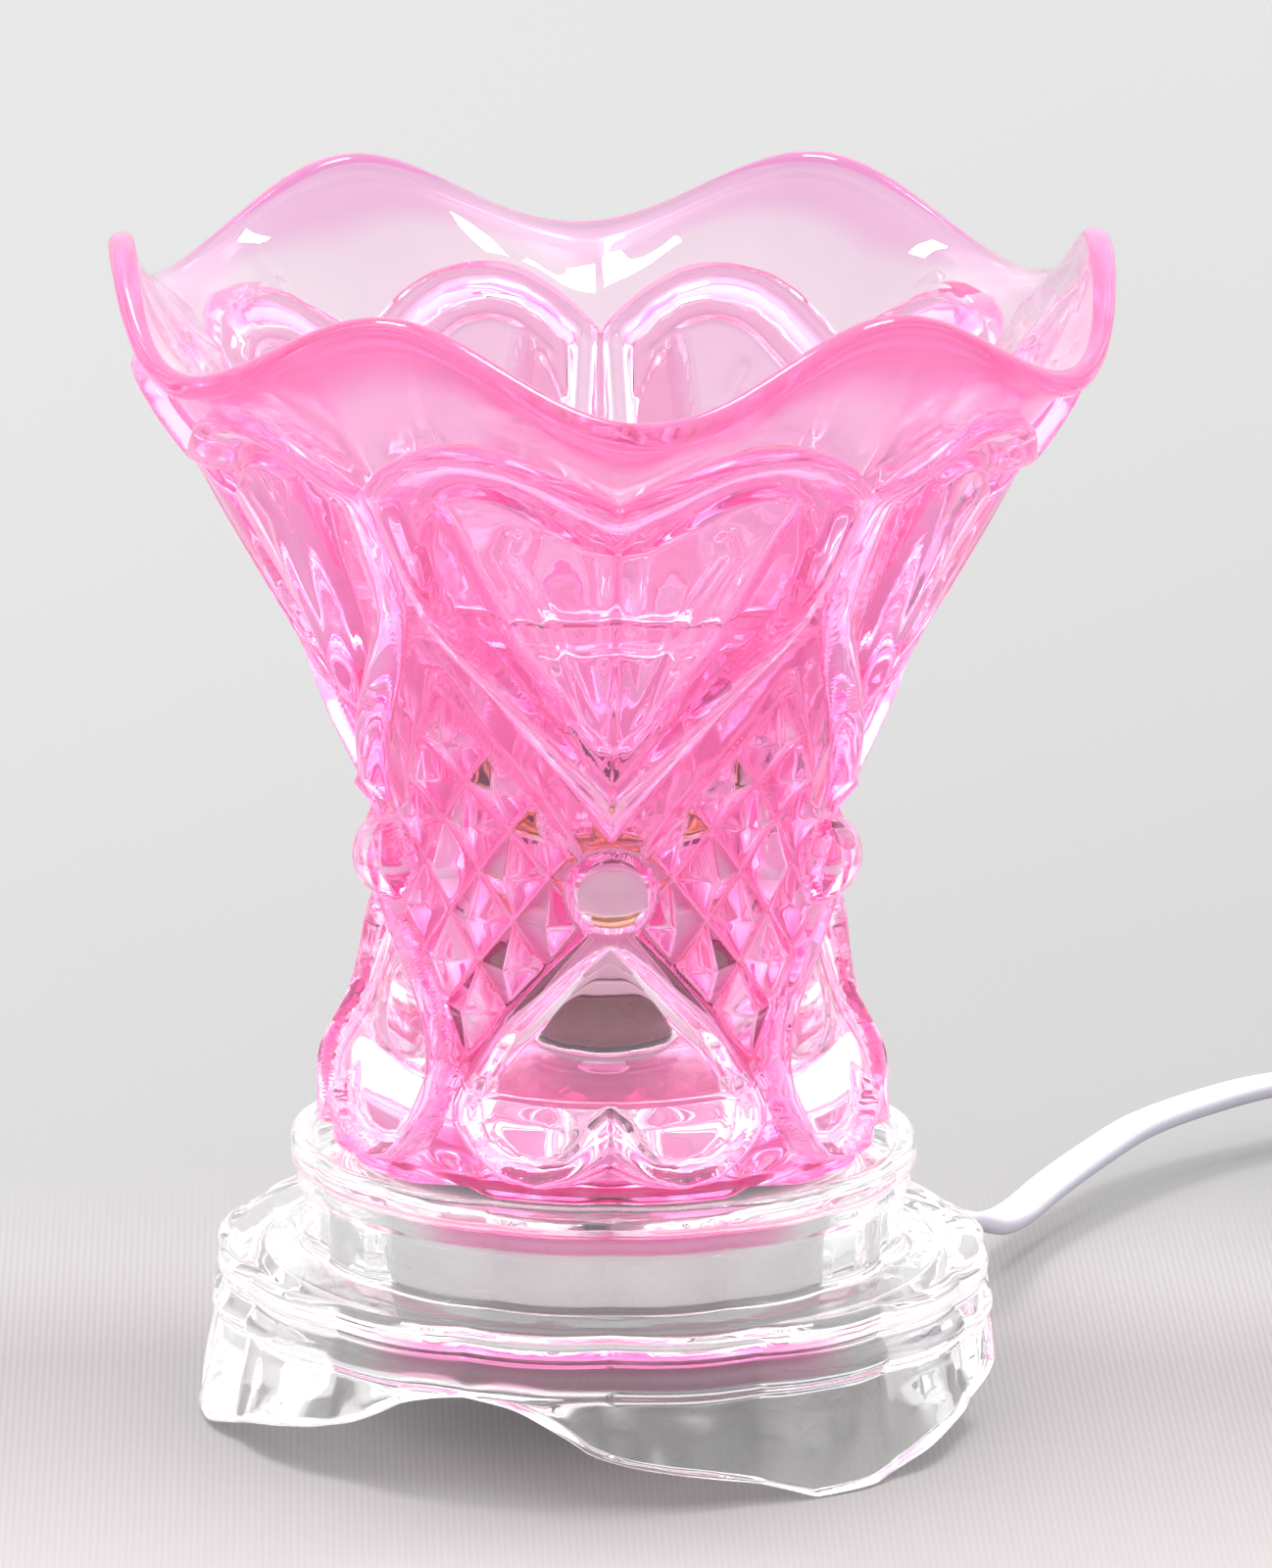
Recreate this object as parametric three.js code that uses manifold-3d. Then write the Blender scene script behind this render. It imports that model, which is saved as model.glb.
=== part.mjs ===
// An electric essential oil burner: a pressed glass shade with a ruffled rim on a clear three-footed glass base.
// Millimetres, +Z up, origin on the table under the middle of the base, +Y away from the viewer.
import * as THREE from "three";
import { mergeVertices } from "three/addons/utils/BufferGeometryUtils.js";
import Module from "manifold-3d";

const wasm = await Module();
wasm.setup();

// General clearances and facet counts
const SEAT_GAP = 0.3; // between pieces that rest on each other
const BORE_GAP = 0.3; // round a shaft or tube in its hole
const ROUND = 16; // sides of the small round pieces
const SMALL_ROUND = 12; // sides of screws, pins and their holes
const WIDE_ROUND = 26; // sides of the dish, cover and gasket
const SHADE_COLUMNS = 70;
const BASE_COLUMNS = 48;

// Clear base, heights from the table
const BASE_TOP = 37.2; // recessed disc that the shade stands on
const LIP_HEIGHT = 1.6;
const LIP_RADIUS = 42.9;
const TOP_THICKNESS = 3.2;
const TIER_WALL_RADIUS = 40.8; // fluted panels of the upper tier
const LEDGE_HEIGHT = 23.9;
const LEDGE_RADIUS = 51.6;
const SKIRT_TOP = 14.8;
const SKIRT_RADIUS = 52.8;
const FOOT_RADIUS = 55.6;
const SKIRT_WALL = 4.4;
const TIER_WALL = 5.2;
const FLUTES = 16;
const FLUTE_DEPTH = 0.7;
const FEET = 3;
const FIRST_FOOT = 33; // degrees from the front, towards the right
const FOOT_EDGE = [ // height of the skirt's edge at [degrees from a foot's middle]
  [0, 0],
  [5, 0],
  [10, 1.5],
  [16, 3],
  [25, 4.7],
  [33, 6],
  [39, 7.9],
  [45, 10.6],
  [51, 12.7],
  [60, 13.6],
];

// Pink shade
const HEARTS = 5;
const HALF_HEART = 180 / HEARTS; // degrees from a heart's middle to its neighbour
const SHADE_FOOT = BASE_TOP + 2.4;
const SHADE_FLOOR = 47;
const SHADE_WALL = 5.4;
const CLEFT_HEIGHT = 138.4; // upper heart: cleft, lobe rise above it, and tip
const LOBE_RISE = 8.7;
const JUNCTION_DROP = 1.2;
const HEART_TIP = 87.3;
const BAND_RELIEF = 2.4; // how far the moulded bands stand out
const GROOVE_RELIEF = 0.3;
const PILLOW_RELIEF = 1.8;
const LOWER_APEX = 78.6; // lower, upside-down heart
const LOWER_SLOPE = 0.56;
const LOWER_DROP = 5.5; // how much lower its shoulders end
const LOWER_CLEFT = 42.4;
const DIAMOND = { first: 55.8, pitch: 6.4, relief: 2, rows: 8 }; // pyramids between the hearts
const BEAD_HEIGHT = 79.6;
const BEAD_RADIUS = 6.1;
const BEAD_SIDES = [10, 7];
const RIM_PEAK = 164.6 - 1.8; // middle of the rounded edge
const RIM_TROUGH = 152.4 - 1.8;
const RIM_PEAK_RADIUS = 66.2;
const RIM_TROUGH_RADIUS = 68.6;
const RUFFLES = 6;
const RUFFLE_TURN = 2.5; // degrees the ruffles are turned from the hearts
const RIM_THICKNESS = 3.6;

// Clamping tube through base and shade
const TUBE_RADIUS = 4.8;
const TUBE_BORE = 3.4;
const TUBE_BOTTOM = 23.4;
const TUBE_TOP = 54.2;
const GLASS_HOLE = TUBE_RADIUS + 0.5;
const RUBBER_WASHER = { radius: 10, thickness: 1 };
const STEEL_WASHER = { radius: 11, thickness: 0.9 };
const NUT = { acrossFlats: 14, height: 4 };
const GASKET = { inner: 24, outer: 32 };
const COVER = { radius: 34.2, wall: 1, height: 11.4 };

// Lampholder, stacked from the shade's floor upwards
const HOLDER_RADIUS = 10;
const HOLDER_WALL = 2;
const HOLDER_BASE_HEIGHT = 10.4;
const CARRIER_HEIGHT = 2.2;
const SLEEVE_HEIGHT = 13.4;
const SHELL_RADIUS = 7;
const SHELL_WALL = 0.5;
const TERMINAL = { offset: 5.4, length: 3.2, width: 4, thickness: 1 };
const SCREW = { shank: 0.8, head: 1.8, headHeight: 1.1, bite: 1.2 };
const CONTACT = { stem: 0.9, radius: 2, rise: 2, crown: 1.2 };

// Lamp bulb
const BULB_TIP = { radius: 2, height: 1.1 };
const INSULATOR = { lower: 2.8, upper: 4.8, height: 1.5 };
const CAP_RADIUS = 6;
const CAP_WALL = 0.5;
const CAP_HEIGHT = 11.7;
const CAP_THREADS = 3;
const CAP_PITCH = 2.8;
const THREAD_DEPTH = 0.5;
const GLOBE_RADIUS = 12.5;
const GLOBE_CENTRE = 91.5;
const BULB_WALL = 0.8;
const GLOBE_STEPS = 7;
const FILAMENT_WIRE = 0.4;
const GLOBE_REACH = 2.5; // radians from the crown to where the globe meets the neck

// Oil dish, which rests on the shade's taper
const DISH_SEAT = 118;
const DISH_LIP = DISH_SEAT + 3.4;
const DISH_BOTTOM = DISH_SEAT - 8.6;
const DISH_FOOT_RADIUS = 15;
const DISH_WALL = 2.2;

// Cord: flat twin flex
const CORD_WIDTH = 5.2;
const CORD_THICKNESS = 2.7;
const EXIT_AZIMUTH = 133;
const EXIT_HEIGHT = 12.8; // the bushing fills a notch in the skirt's edge
const BUSHING = { inner: 44.8, lip: 1.5, outer: 67, hole: 4.4, flange: 5.6, flangeDepth: 2, tip: 3.2 };

// Coil of the spare cord
const COIL = { x: 141, y: 18, radius: 34.5, pitch: 3.3, layerRise: 5.8, turns: 6.5, lift: 0.9 };
const LOOP_STEPS = 24;
const COIL_SIDES = 6;
const TIE = { width: 6, thickness: 0.5, clearance: 0.35 };

// In-line dimmer
const DIMMER = { x: 163, y: 106, turn: 6, length: 58, width: 27, lower: 8.4, upper: 8.6, corner: 9 };
const WHEEL = { radius: 15.3, thickness: 5, axle: 2, ribs: 28, ribDepth: 0.6 };
const BOARD = { length: 32, width: 22, thickness: 1.6, bottom: 2.1 };
const HOUSING_SCREW = { shank: 1.1, head: 1.8, headHeight: 1.5, seat: 2.4, reach: 4.4, offset: 22 };

// Two-pin plug
const PLUG = { x: 122, y: 76, length: 28, width: 24, height: 15, tail: 12 };
const BLADE = { spacing: 12.7, width: 6.3, thickness: 1.5, length: 16, root: 4, hole: 1.6 };

const group = new THREE.Group();

// Materials
function finish(color, roughness, metalness = 0, opacity = 1) {
  const transparent = opacity < 1;
  return new THREE.MeshStandardMaterial({ color, roughness, metalness, opacity, transparent });
}
const clearGlass = finish(0xe9efec, 0.05, 0, 0.4);
const pinkGlass = finish(0xff6fb4, 0.06, 0, 0.6);
const dishGlass = finish(0xf3f6f5, 0.05, 0, 0.4);
const bulbGlass = finish(0xf6f6f2, 0.04, 0, 0.35);
const silicone = finish(0xe4e4e0, 0.5, 0, 0.7);
const brass = finish(0xc59a4a, 0.3, 1);
const steel = finish(0xb9bbbd, 0.35, 1);
const tungsten = finish(0x6c6a68, 0.45, 1);
const blackRubber = finish(0x242322, 0.8);
const phenolic = finish(0x3a2320, 0.4);
const porcelain = finish(0xefe9e4, 0.2);
const blackGlass = finish(0x17161a, 0.2);
const whiteCover = finish(0xe9e9ea, 0.3, 0.4);
const whiteFlex = finish(0xf1eff2, 0.45);
const whitePlastic = finish(0xf2f2ef, 0.35);
const boardGreen = finish(0x2f6a45, 0.5);

// Puts a geometry into the assembly as one named mesh.
function add(name, geometry, material) {
  const mesh = new THREE.Mesh(geometry, material);
  mesh.name = name;
  group.add(mesh);
  return mesh;
}

// Small maths
const radians = (degrees) => (degrees * Math.PI) / 180;
const clamp = (value, low, high) => Math.min(high, Math.max(low, value));
const mix = (a, b, t) => a + (b - a) * t;
function smooth(low, high, value) {
  const t = clamp((value - low) / (high - low), 0, 1);
  return t * t * (3 - 2 * t);
}
// A direction on plan: 0 faces the viewer, 90 is to the right.
function bearing(degrees) {
  return [Math.sin(radians(degrees)), -Math.cos(radians(degrees))];
}
// Smooth value along a list of [position, value] points.
function along(points, position) {
  const last = points.length - 1;
  const inside = clamp(position, points[0][0], points[last][0]);
  let i = 0;
  while (i < last - 1 && inside > points[i + 1][0]) i += 1;
  const slope = (k) => {
    const a = points[Math.max(0, k - 1)];
    const b = points[Math.min(last, k + 1)];
    return (b[1] - a[1]) / (b[0] - a[0]);
  };
  const span = points[i + 1][0] - points[i][0];
  const t = (inside - points[i][0]) / span;
  const start = points[i][1] * (1 + 2 * t) * (1 - t) ** 2 + slope(i) * span * t * (1 - t) ** 2;
  const end = points[i + 1][1] * (3 - 2 * t) * t ** 2 + slope(i + 1) * span * (t - 1) * t ** 2;
  return start + end;
}

// Geometry helpers
// A solid turned about the vertical axis from [radius, height] points.
function turned(points, sides = ROUND) {
  const profile = points.map(([r, z]) => new THREE.Vector2(r, z));
  const area = THREE.ShapeUtils.area(profile);
  if (area < 0) profile.reverse();
  const closed = points.every(([r]) => r > 0) ? [...profile, profile[0].clone()] : profile;
  return new THREE.LatheGeometry(closed, sides).rotateX(Math.PI / 2);
}
// A flat ring or washer.
function ring(inner, outer, bottom, top, sides = ROUND) {
  return turned([[inner, bottom], [outer, bottom], [outer, top], [inner, top]], sides);
}
// A round bar.
function bar(radius, bottom, top, sides = ROUND) {
  return turned([[0, bottom], [radius, bottom], [radius, top], [0, top]], sides);
}
// A block between two corners.
function block(low, high) {
  const size = high.map((value, i) => value - low[i]);
  const middle = high.map((value, i) => (value + low[i]) / 2);
  return new THREE.BoxGeometry(...size).translate(...middle);
}
// A closed skin of columns round the axis, each a closed loop of rows.
function skin(columns, loopAt) {
  const loops = [];
  for (let c = 0; c < columns; c += 1) loops.push(loopAt((360 * c) / columns));
  const rows = loops[0].length;
  const facing = Math.sign(THREE.ShapeUtils.area(loops[0].map(([r, z]) => new THREE.Vector2(r, z))));
  const positions = [];
  loops.forEach((loop, c) => {
    const [x, y] = bearing((360 * c) / columns);
    loop.forEach(([r, z]) => positions.push(r * x, r * y, z));
  });
  const index = [];
  for (let c = 0; c < columns; c += 1) {
    const next = (c + 1) % columns;
    for (let r = 0; r < rows; r += 1) {
      const up = (r + 1) % rows;
      const corner = [c * rows + r, next * rows + r, next * rows + up, c * rows + up];
      if (facing < 0) corner.reverse();
      index.push(corner[0], corner[1], corner[2], corner[0], corner[2], corner[3]);
    }
  }
  const geometry = new THREE.BufferGeometry();
  geometry.setAttribute("position", new THREE.Float32BufferAttribute(positions, 3));
  geometry.setIndex(index);
  return geometry;
}
// A tube of an even section along a smooth curve through the points.
function tube(points, halfWidth, halfThickness, sides, steps) {
  const section = new THREE.Shape();
  for (let i = 0; i < sides; i += 1) {
    const angle = (2 * Math.PI * (i + 0.5)) / sides;
    const place = [halfWidth * Math.cos(angle), halfThickness * Math.sin(angle)];
    if (i === 0) section.moveTo(...place);
    else section.lineTo(...place);
  }
  section.closePath();
  const path = new THREE.CatmullRomCurve3(points.map((p) => new THREE.Vector3(...p)), false, "centripetal");
  return new THREE.ExtrudeGeometry(section, { steps, extrudePath: path, bevelEnabled: false });
}
// Cuts and joins
function toSolid(geometry) {
  const bare = new THREE.BufferGeometry();
  const source = geometry.index ? geometry.toNonIndexed() : geometry;
  bare.setAttribute("position", source.getAttribute("position"));
  const merged = mergeVertices(bare, 1e-4);
  const vertProperties = merged.attributes.position.array;
  const triVerts = new Uint32Array(merged.index.array);
  return new wasm.Manifold(new wasm.Mesh({ numProp: 3, vertProperties, triVerts }));
}
function toGeometry(solid) {
  const mesh = solid.getMesh();
  const geometry = new THREE.BufferGeometry();
  geometry.setAttribute("position", new THREE.Float32BufferAttribute(mesh.vertProperties, 3));
  geometry.setIndex(Array.from(mesh.triVerts));
  return geometry;
}
function cut(geometry, ...tools) {
  return toGeometry(tools.reduce((solid, tool) => solid.subtract(toSolid(tool)), toSolid(geometry)));
}
function join(geometry, ...others) {
  return toGeometry(others.reduce((solid, other) => solid.add(toSolid(other)), toSolid(geometry)));
}
// Turns a geometry that was made about +Z so that it points outwards along a bearing.
function aim(geometry, azimuth, height) {
  const [x, y] = bearing(azimuth);
  const up = new THREE.Vector3(0, 0, 1);
  const turn = new THREE.Quaternion().setFromUnitVectors(up, new THREE.Vector3(x, y, 0));
  return geometry.applyQuaternion(turn).translate(0, 0, height);
}

// Clear glass base
function footEdge(azimuth) {
  const spacing = 360 / FEET;
  const turn = (((azimuth - FIRST_FOOT) % spacing) + spacing) % spacing;
  const away = Math.min(turn, spacing - turn);
  return along(FOOT_EDGE, away);
}
function baseLoop(azimuth) {
  const flute = FLUTE_DEPTH * Math.abs(Math.sin((radians(azimuth) * FLUTES) / 2));
  const edge = footEdge(azimuth);
  const lip = LIP_RADIUS + 0.5 * flute;
  const wall = TIER_WALL_RADIUS + flute;
  const ledge = LEDGE_RADIUS + flute;
  const skirt = SKIRT_RADIUS + flute;
  const spread = (z) => mix(FOOT_RADIUS, skirt - 0.4, z / SKIRT_TOP) + 0.6 * flute;
  const middle = mix(edge, SKIRT_TOP, 0.5);
  const underside = BASE_TOP - TOP_THICKNESS;
  const tierInside = TIER_WALL_RADIUS - TIER_WALL;
  const skirtInside = LEDGE_RADIUS - SKIRT_WALL;
  return [
    [GLASS_HOLE, BASE_TOP],
    [lip - 3.3, BASE_TOP],
    [lip - 2.6, BASE_TOP + LIP_HEIGHT],
    [lip - 0.7, BASE_TOP + LIP_HEIGHT],
    [lip, BASE_TOP + 0.4],
    [lip - 0.2, BASE_TOP - 1.8],
    [lip - 1.2, BASE_TOP - 2.6],
    [lip - 0.7, BASE_TOP - 4.2],
    [wall, BASE_TOP - 5.8],
    [wall - 0.2, LEDGE_HEIGHT + 0.7],
    [wall + 0.6, LEDGE_HEIGHT],
    [ledge - 0.4, LEDGE_HEIGHT],
    [ledge + 1, LEDGE_HEIGHT - 1.3],
    [ledge + 0.8, LEDGE_HEIGHT - 3.3],
    [ledge - 0.2, LEDGE_HEIGHT - 4.5],
    [skirt + 0.2, LEDGE_HEIGHT - 6.3],
    [skirt + 0.5, SKIRT_TOP + 1.1],
    [skirt - 0.4, SKIRT_TOP],
    [spread(middle), middle],
    [spread(edge), edge + 0.7],
    [spread(edge) - 1.2, edge],
    [spread(edge) - SKIRT_WALL, edge],
    [skirtInside + 0.8, mix(edge, SKIRT_TOP + 2, 0.6)],
    [skirtInside - 1, LEDGE_HEIGHT - 4.4],
    [tierInside + 1.2, LEDGE_HEIGHT - 4.4],
    [tierInside, LEDGE_HEIGHT - 3],
    [tierInside - 0.3, underside],
    [GLASS_HOLE, underside],
  ];
}
const bushingHole = aim(bar(BUSHING.hole, BUSHING.inner - 6, BUSHING.outer), EXIT_AZIMUTH, EXIT_HEIGHT);
add("glass_base", cut(skin(BASE_COLUMNS, baseLoop), bushingHole), clearGlass);

// Pink glass shade
const SHADE_PROFILE = [
  [SHADE_FOOT, 35.5],
  [45, 37],
  [49, 36.8],
  [56, 33.2],
  [62, 31.2],
  [68, 30.4],
  [79, 30.3],
  [86, 31.2],
  [92, 33.2],
  [100, 36.4],
  [109, 40],
  [118, 45],
  [127, 50.2],
  [135, 54.8],
  [142, 59],
  [147, 61.8],
];
const FLOOR_CORNER_RADIUS = 23;
const WAIST = 62; // below it the wall thickens towards the foot
const FOOT_THICKENING = 0.9;
const outside = (z) => along(SHADE_PROFILE, z);
function inside(z) {
  const thickening = z < WAIST ? (outside(z) - outside(WAIST)) * FOOT_THICKENING : 0;
  return Math.max(outside(z) - SHADE_WALL, 0) - thickening;
}

// Outlines of the hearts: away is in degrees from the heart's middle.
function heartTop(away) {
  const share = away / HALF_HEART;
  return CLEFT_HEIGHT + LOBE_RISE * Math.sin(Math.PI * share ** 1.12) - JUNCTION_DROP * share;
}
function heartSide(away) {
  return HEART_TIP + 0.62 * away + 0.0049 * away ** 2 + 0.00009 * away ** 3;
}
function lowerSide(away) {
  return LOWER_APEX - LOWER_SLOPE * away - LOWER_DROP * (Math.max(0, away - 24) / 12) ** 2;
}
function lowerBottom(away) {
  const lobe = away < 30 ? 2.8 * Math.sin((Math.PI * away) / 30) : 0;
  const rise = 9.5 * (Math.max(0, away - 22) / 14) ** 2;
  return Math.max(LOWER_CLEFT - lobe + rise, SHADE_FOOT + 1);
}
// Middle line of the wall from the hearts up to the ruffled edge.
function rimPoint(azimuth, away, t) {
  const wave = 0.5 - 0.5 * Math.cos(radians(RUFFLES * (azimuth - RUFFLE_TURN)));
  const startZ = heartTop(away) + 0.8;
  const startR = outside(startZ) - SHADE_WALL / 2;
  const endZ = mix(RIM_TROUGH, RIM_PEAK, wave);
  const endR = mix(RIM_TROUGH_RADIUS, RIM_PEAK_RADIUS, wave);
  const bendZ = mix(startZ, endZ, 0.6);
  const bendR = startR + 0.6 * (bendZ - startZ) + 1;
  const weight = [(1 - t) ** 2, 2 * t * (1 - t), t ** 2];
  const r = weight[0] * startR + weight[1] * bendR + weight[2] * endR;
  const z = weight[0] * startZ + weight[1] * bendZ + weight[2] * endZ;
  const slopeR = (1 - t) * (bendR - startR) + t * (endR - bendR);
  const slopeZ = (1 - t) * (bendZ - startZ) + t * (endZ - bendZ);
  const length = Math.hypot(slopeR, slopeZ);
  return { r, z, forward: [slopeR / length, slopeZ / length] };
}
function rimOffset(azimuth, away, t, side, ahead = 0) {
  const { r, z, forward } = rimPoint(azimuth, away, t);
  const half = mix(SHADE_WALL, RIM_THICKNESS, Math.min(1, 1.4 * t)) / 2;
  const out = [forward[1] * half * side, -forward[0] * half * side];
  return [r + out[0] + forward[0] * half * ahead, z + out[1] + forward[1] * half * ahead];
}
// Diamonds between the hearts: pyramids in every other column, and their grooves' crossings between them.
function diamondRows(away, floorZ, ceilingZ) {
  const column = Math.round((HALF_HEART - away) / (360 / SHADE_COLUMNS));
  const between = column % 2 === 1;
  const rows = [];
  for (let row = 0; row < DIAMOND.rows; row += 1) {
    const wanted = DIAMOND.first + DIAMOND.pitch * (row + (between ? 0.5 : 0));
    const z = clamp(wanted, floorZ + 0.6 * (row + 1), ceilingZ - 0.6 * (DIAMOND.rows - row));
    const apex = !between && (row + column / 2) % 2 === 1;
    rows.push([outside(z) + (z === wanted && apex ? DIAMOND.relief : 0), z]);
  }
  return rows;
}
function shadeLoop(azimuth) {
  const turn = ((azimuth + HALF_HEART) % (2 * HALF_HEART)) - HALF_HEART;
  const away = Math.abs(turn);
  const at = (z, relief) => [outside(z) + relief, z];
  const low = lowerBottom(away);
  const lowTop = lowerSide(away);
  const lowScale = clamp((lowTop - low) / 16, 0.2, 1);
  const side = heartSide(away);
  const top = heartTop(away);
  const scale = clamp((top - side) / 24, 0.5, 1);
  const scallop = mix(1.8, -1.6, smooth(24, HALF_HEART, away)) - 0.8 * smooth(8, 0, away);
  const pillow = PILLOW_RELIEF * smooth(0, 8, away) * smooth(HALF_HEART, 24, away);
  const loop = [
    [outside(SHADE_FOOT) + scallop - 1.4, SHADE_FOOT],
    [outside(SHADE_FOOT) + scallop, SHADE_FOOT + 0.8],
    at(low + 1.2 * lowScale, BAND_RELIEF * lowScale),
    at(low + 3.8 * lowScale, BAND_RELIEF * lowScale),
    at(low + 5.2 * lowScale, GROOVE_RELIEF),
    at(lowTop - 6.4 * lowScale, GROOVE_RELIEF),
    at(lowTop - 4.6 * lowScale, BAND_RELIEF * lowScale),
    at(lowTop - 1.4 * lowScale, BAND_RELIEF * lowScale),
    at(lowTop + 0.4, 0),
  ];
  loop.push(...diamondRows(away, lowTop + 0.4, side - 5));
  loop.push(at(side - 0.8, 0), at(side + 1.4 * scale, BAND_RELIEF), at(side + 5.4 * scale, BAND_RELIEF));
  loop.push(at(side + 7.4 * scale, GROOVE_RELIEF));
  const pillowLow = side + 9 * scale;
  const pillowHigh = top - 7.6 * scale;
  [0, 0.5, 1].forEach((share) => loop.push(at(mix(pillowLow, pillowHigh, share), pillow)));
  loop.push(at(top - 6 * scale, GROOVE_RELIEF), at(top - 4.4 * scale, BAND_RELIEF));
  loop.push(at(top - 1, BAND_RELIEF));
  [0.05, 0.5, 1].forEach((t) => loop.push(rimOffset(azimuth, away, t, 1)));
  loop.push(rimOffset(azimuth, away, 1, 0.6, 0.8), rimOffset(azimuth, away, 1, -0.6, 0.8));
  [1, 0.5, 0].forEach((t) => loop.push(rimOffset(azimuth, away, t, -1)));
  [DISH_LIP + 2, DISH_SEAT - 5, 98, 82, 64, 52].forEach((z) => loop.push([inside(z), z]));
  loop.push([FLOOR_CORNER_RADIUS, SHADE_FLOOR]);
  loop.push([GLASS_HOLE, SHADE_FLOOR]);
  loop.push([GLASS_HOLE, SHADE_FOOT]);
  return loop;
}
// A bead where each upper heart's tip meets the lower heart's apex.
function bead(index) {
  const [x, y] = bearing((360 / HEARTS) * index);
  const radius = outside(BEAD_HEIGHT);
  return new THREE.SphereGeometry(BEAD_RADIUS, ...BEAD_SIDES).translate(x * radius, y * radius, BEAD_HEIGHT);
}
const beads = [];
for (let heart = 0; heart < HEARTS; heart += 1) beads.push(bead(heart));
add("glass_shade", join(skin(SHADE_COLUMNS, shadeLoop), ...beads), pinkGlass);

// Gasket under the shade
const gasket = ring(GASKET.inner, GASKET.outer, BASE_TOP + SEAT_GAP, SHADE_FOOT - SEAT_GAP, WIDE_ROUND);
add("seat_gasket", gasket, silicone);

// Clamping stack under the base
const coverTop = BASE_TOP - TOP_THICKNESS - SEAT_GAP;
const coverBottom = coverTop - COVER.height;
const coverInside = COVER.radius - COVER.wall;
const coverProfile = [
  [GLASS_HOLE, coverTop],
  [COVER.radius, coverTop],
  [COVER.radius, coverBottom],
  [coverInside, coverBottom],
  [coverInside, coverTop - COVER.wall],
  [GLASS_HOLE, coverTop - COVER.wall],
];
add("wiring_cover", turned(coverProfile, WIDE_ROUND), whiteCover);
const washerBore = TUBE_RADIUS + BORE_GAP;
let level = coverTop - COVER.wall - SEAT_GAP;
const washer = ({ radius, thickness }, bottom) => ring(washerBore, radius, bottom, bottom + thickness);
add("lower_rubber_washer", washer(RUBBER_WASHER, level - RUBBER_WASHER.thickness), silicone);
level -= RUBBER_WASHER.thickness + SEAT_GAP;
add("lower_steel_washer", washer(STEEL_WASHER, level - STEEL_WASHER.thickness), steel);
level -= STEEL_WASHER.thickness + SEAT_GAP;
function hexNut(top) {
  const cornerRadius = NUT.acrossFlats / 2 / Math.cos(Math.PI / 6);
  const body = bar(cornerRadius, top - NUT.height, top, 6);
  return cut(body, bar(washerBore, top - NUT.height - 1, top + 1));
}
add("lower_lock_nut", hexNut(level), steel);
add("threaded_tube", ring(TUBE_BORE, TUBE_RADIUS, TUBE_BOTTOM, TUBE_TOP), steel);

// Washers inside the shade
let stack = SHADE_FLOOR + SEAT_GAP;
add("upper_rubber_washer", washer(RUBBER_WASHER, stack), silicone);
stack += RUBBER_WASHER.thickness + SEAT_GAP;
add("upper_steel_washer", washer(STEEL_WASHER, stack), steel);
stack += STEEL_WASHER.thickness + SEAT_GAP;

// Lampholder
const holderBottom = stack;
const holderRim = holderBottom + HOLDER_BASE_HEIGHT;
const chamberRadius = HOLDER_RADIUS - HOLDER_WALL;
const holderBase = [
  [washerBore, holderBottom],
  [HOLDER_RADIUS, holderBottom],
  [HOLDER_RADIUS, holderRim],
  [chamberRadius, holderRim],
  [chamberRadius, holderBottom + HOLDER_WALL],
  [washerBore, holderBottom + HOLDER_WALL],
];
add("holder_base", turned(holderBase), phenolic);
const carrierBottom = holderRim + SEAT_GAP;
const carrierTop = carrierBottom + CARRIER_HEIGHT;
const blindTop = carrierBottom + SCREW.bite + SEAT_GAP;
const screwHole = (x) => {
  const hole = bar(SCREW.shank + BORE_GAP, carrierBottom - 1, blindTop, SMALL_ROUND);
  return hole.translate(x, 0, 0);
};
const contactHole = bar(CONTACT.stem + BORE_GAP, carrierBottom - 1, carrierTop + 1, SMALL_ROUND);
const carrier = bar(HOLDER_RADIUS, carrierBottom, carrierTop);
const carrierCuts = [contactHole, screwHole(TERMINAL.offset), screwHole(-TERMINAL.offset)];
add("contact_carrier", cut(carrier, ...carrierCuts), porcelain);
const sleeveBottom = carrierTop + SEAT_GAP;
const sleeveTop = sleeveBottom + SLEEVE_HEIGHT;
add("holder_sleeve", ring(SHELL_RADIUS + BORE_GAP, HOLDER_RADIUS, sleeveBottom, sleeveTop), porcelain);
const shellBottom = sleeveBottom;
const shellHole = CONTACT.radius + 1;
const shellInside = SHELL_RADIUS - SHELL_WALL;
const shellTop = sleeveTop - 0.6;
const shellProfile = [
  [shellHole, shellBottom],
  [SHELL_RADIUS, shellBottom],
  [SHELL_RADIUS, shellTop],
  [shellInside, shellTop],
  [shellInside, shellBottom + SHELL_WALL],
  [shellHole, shellBottom + SHELL_WALL],
];
add("screw_shell", turned(shellProfile), brass);
const contactTop = shellBottom + CONTACT.rise;
const contactFoot = carrierBottom - 0.8;
const contactProfile = [
  [0, contactFoot],
  [CONTACT.stem, contactFoot],
  [CONTACT.stem, shellBottom],
  [CONTACT.radius, shellBottom],
  [CONTACT.radius, contactTop - 0.5],
  [CONTACT.crown, contactTop],
  [0, contactTop],
];
add("centre_contact", turned(contactProfile, SMALL_ROUND), brass);

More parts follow.
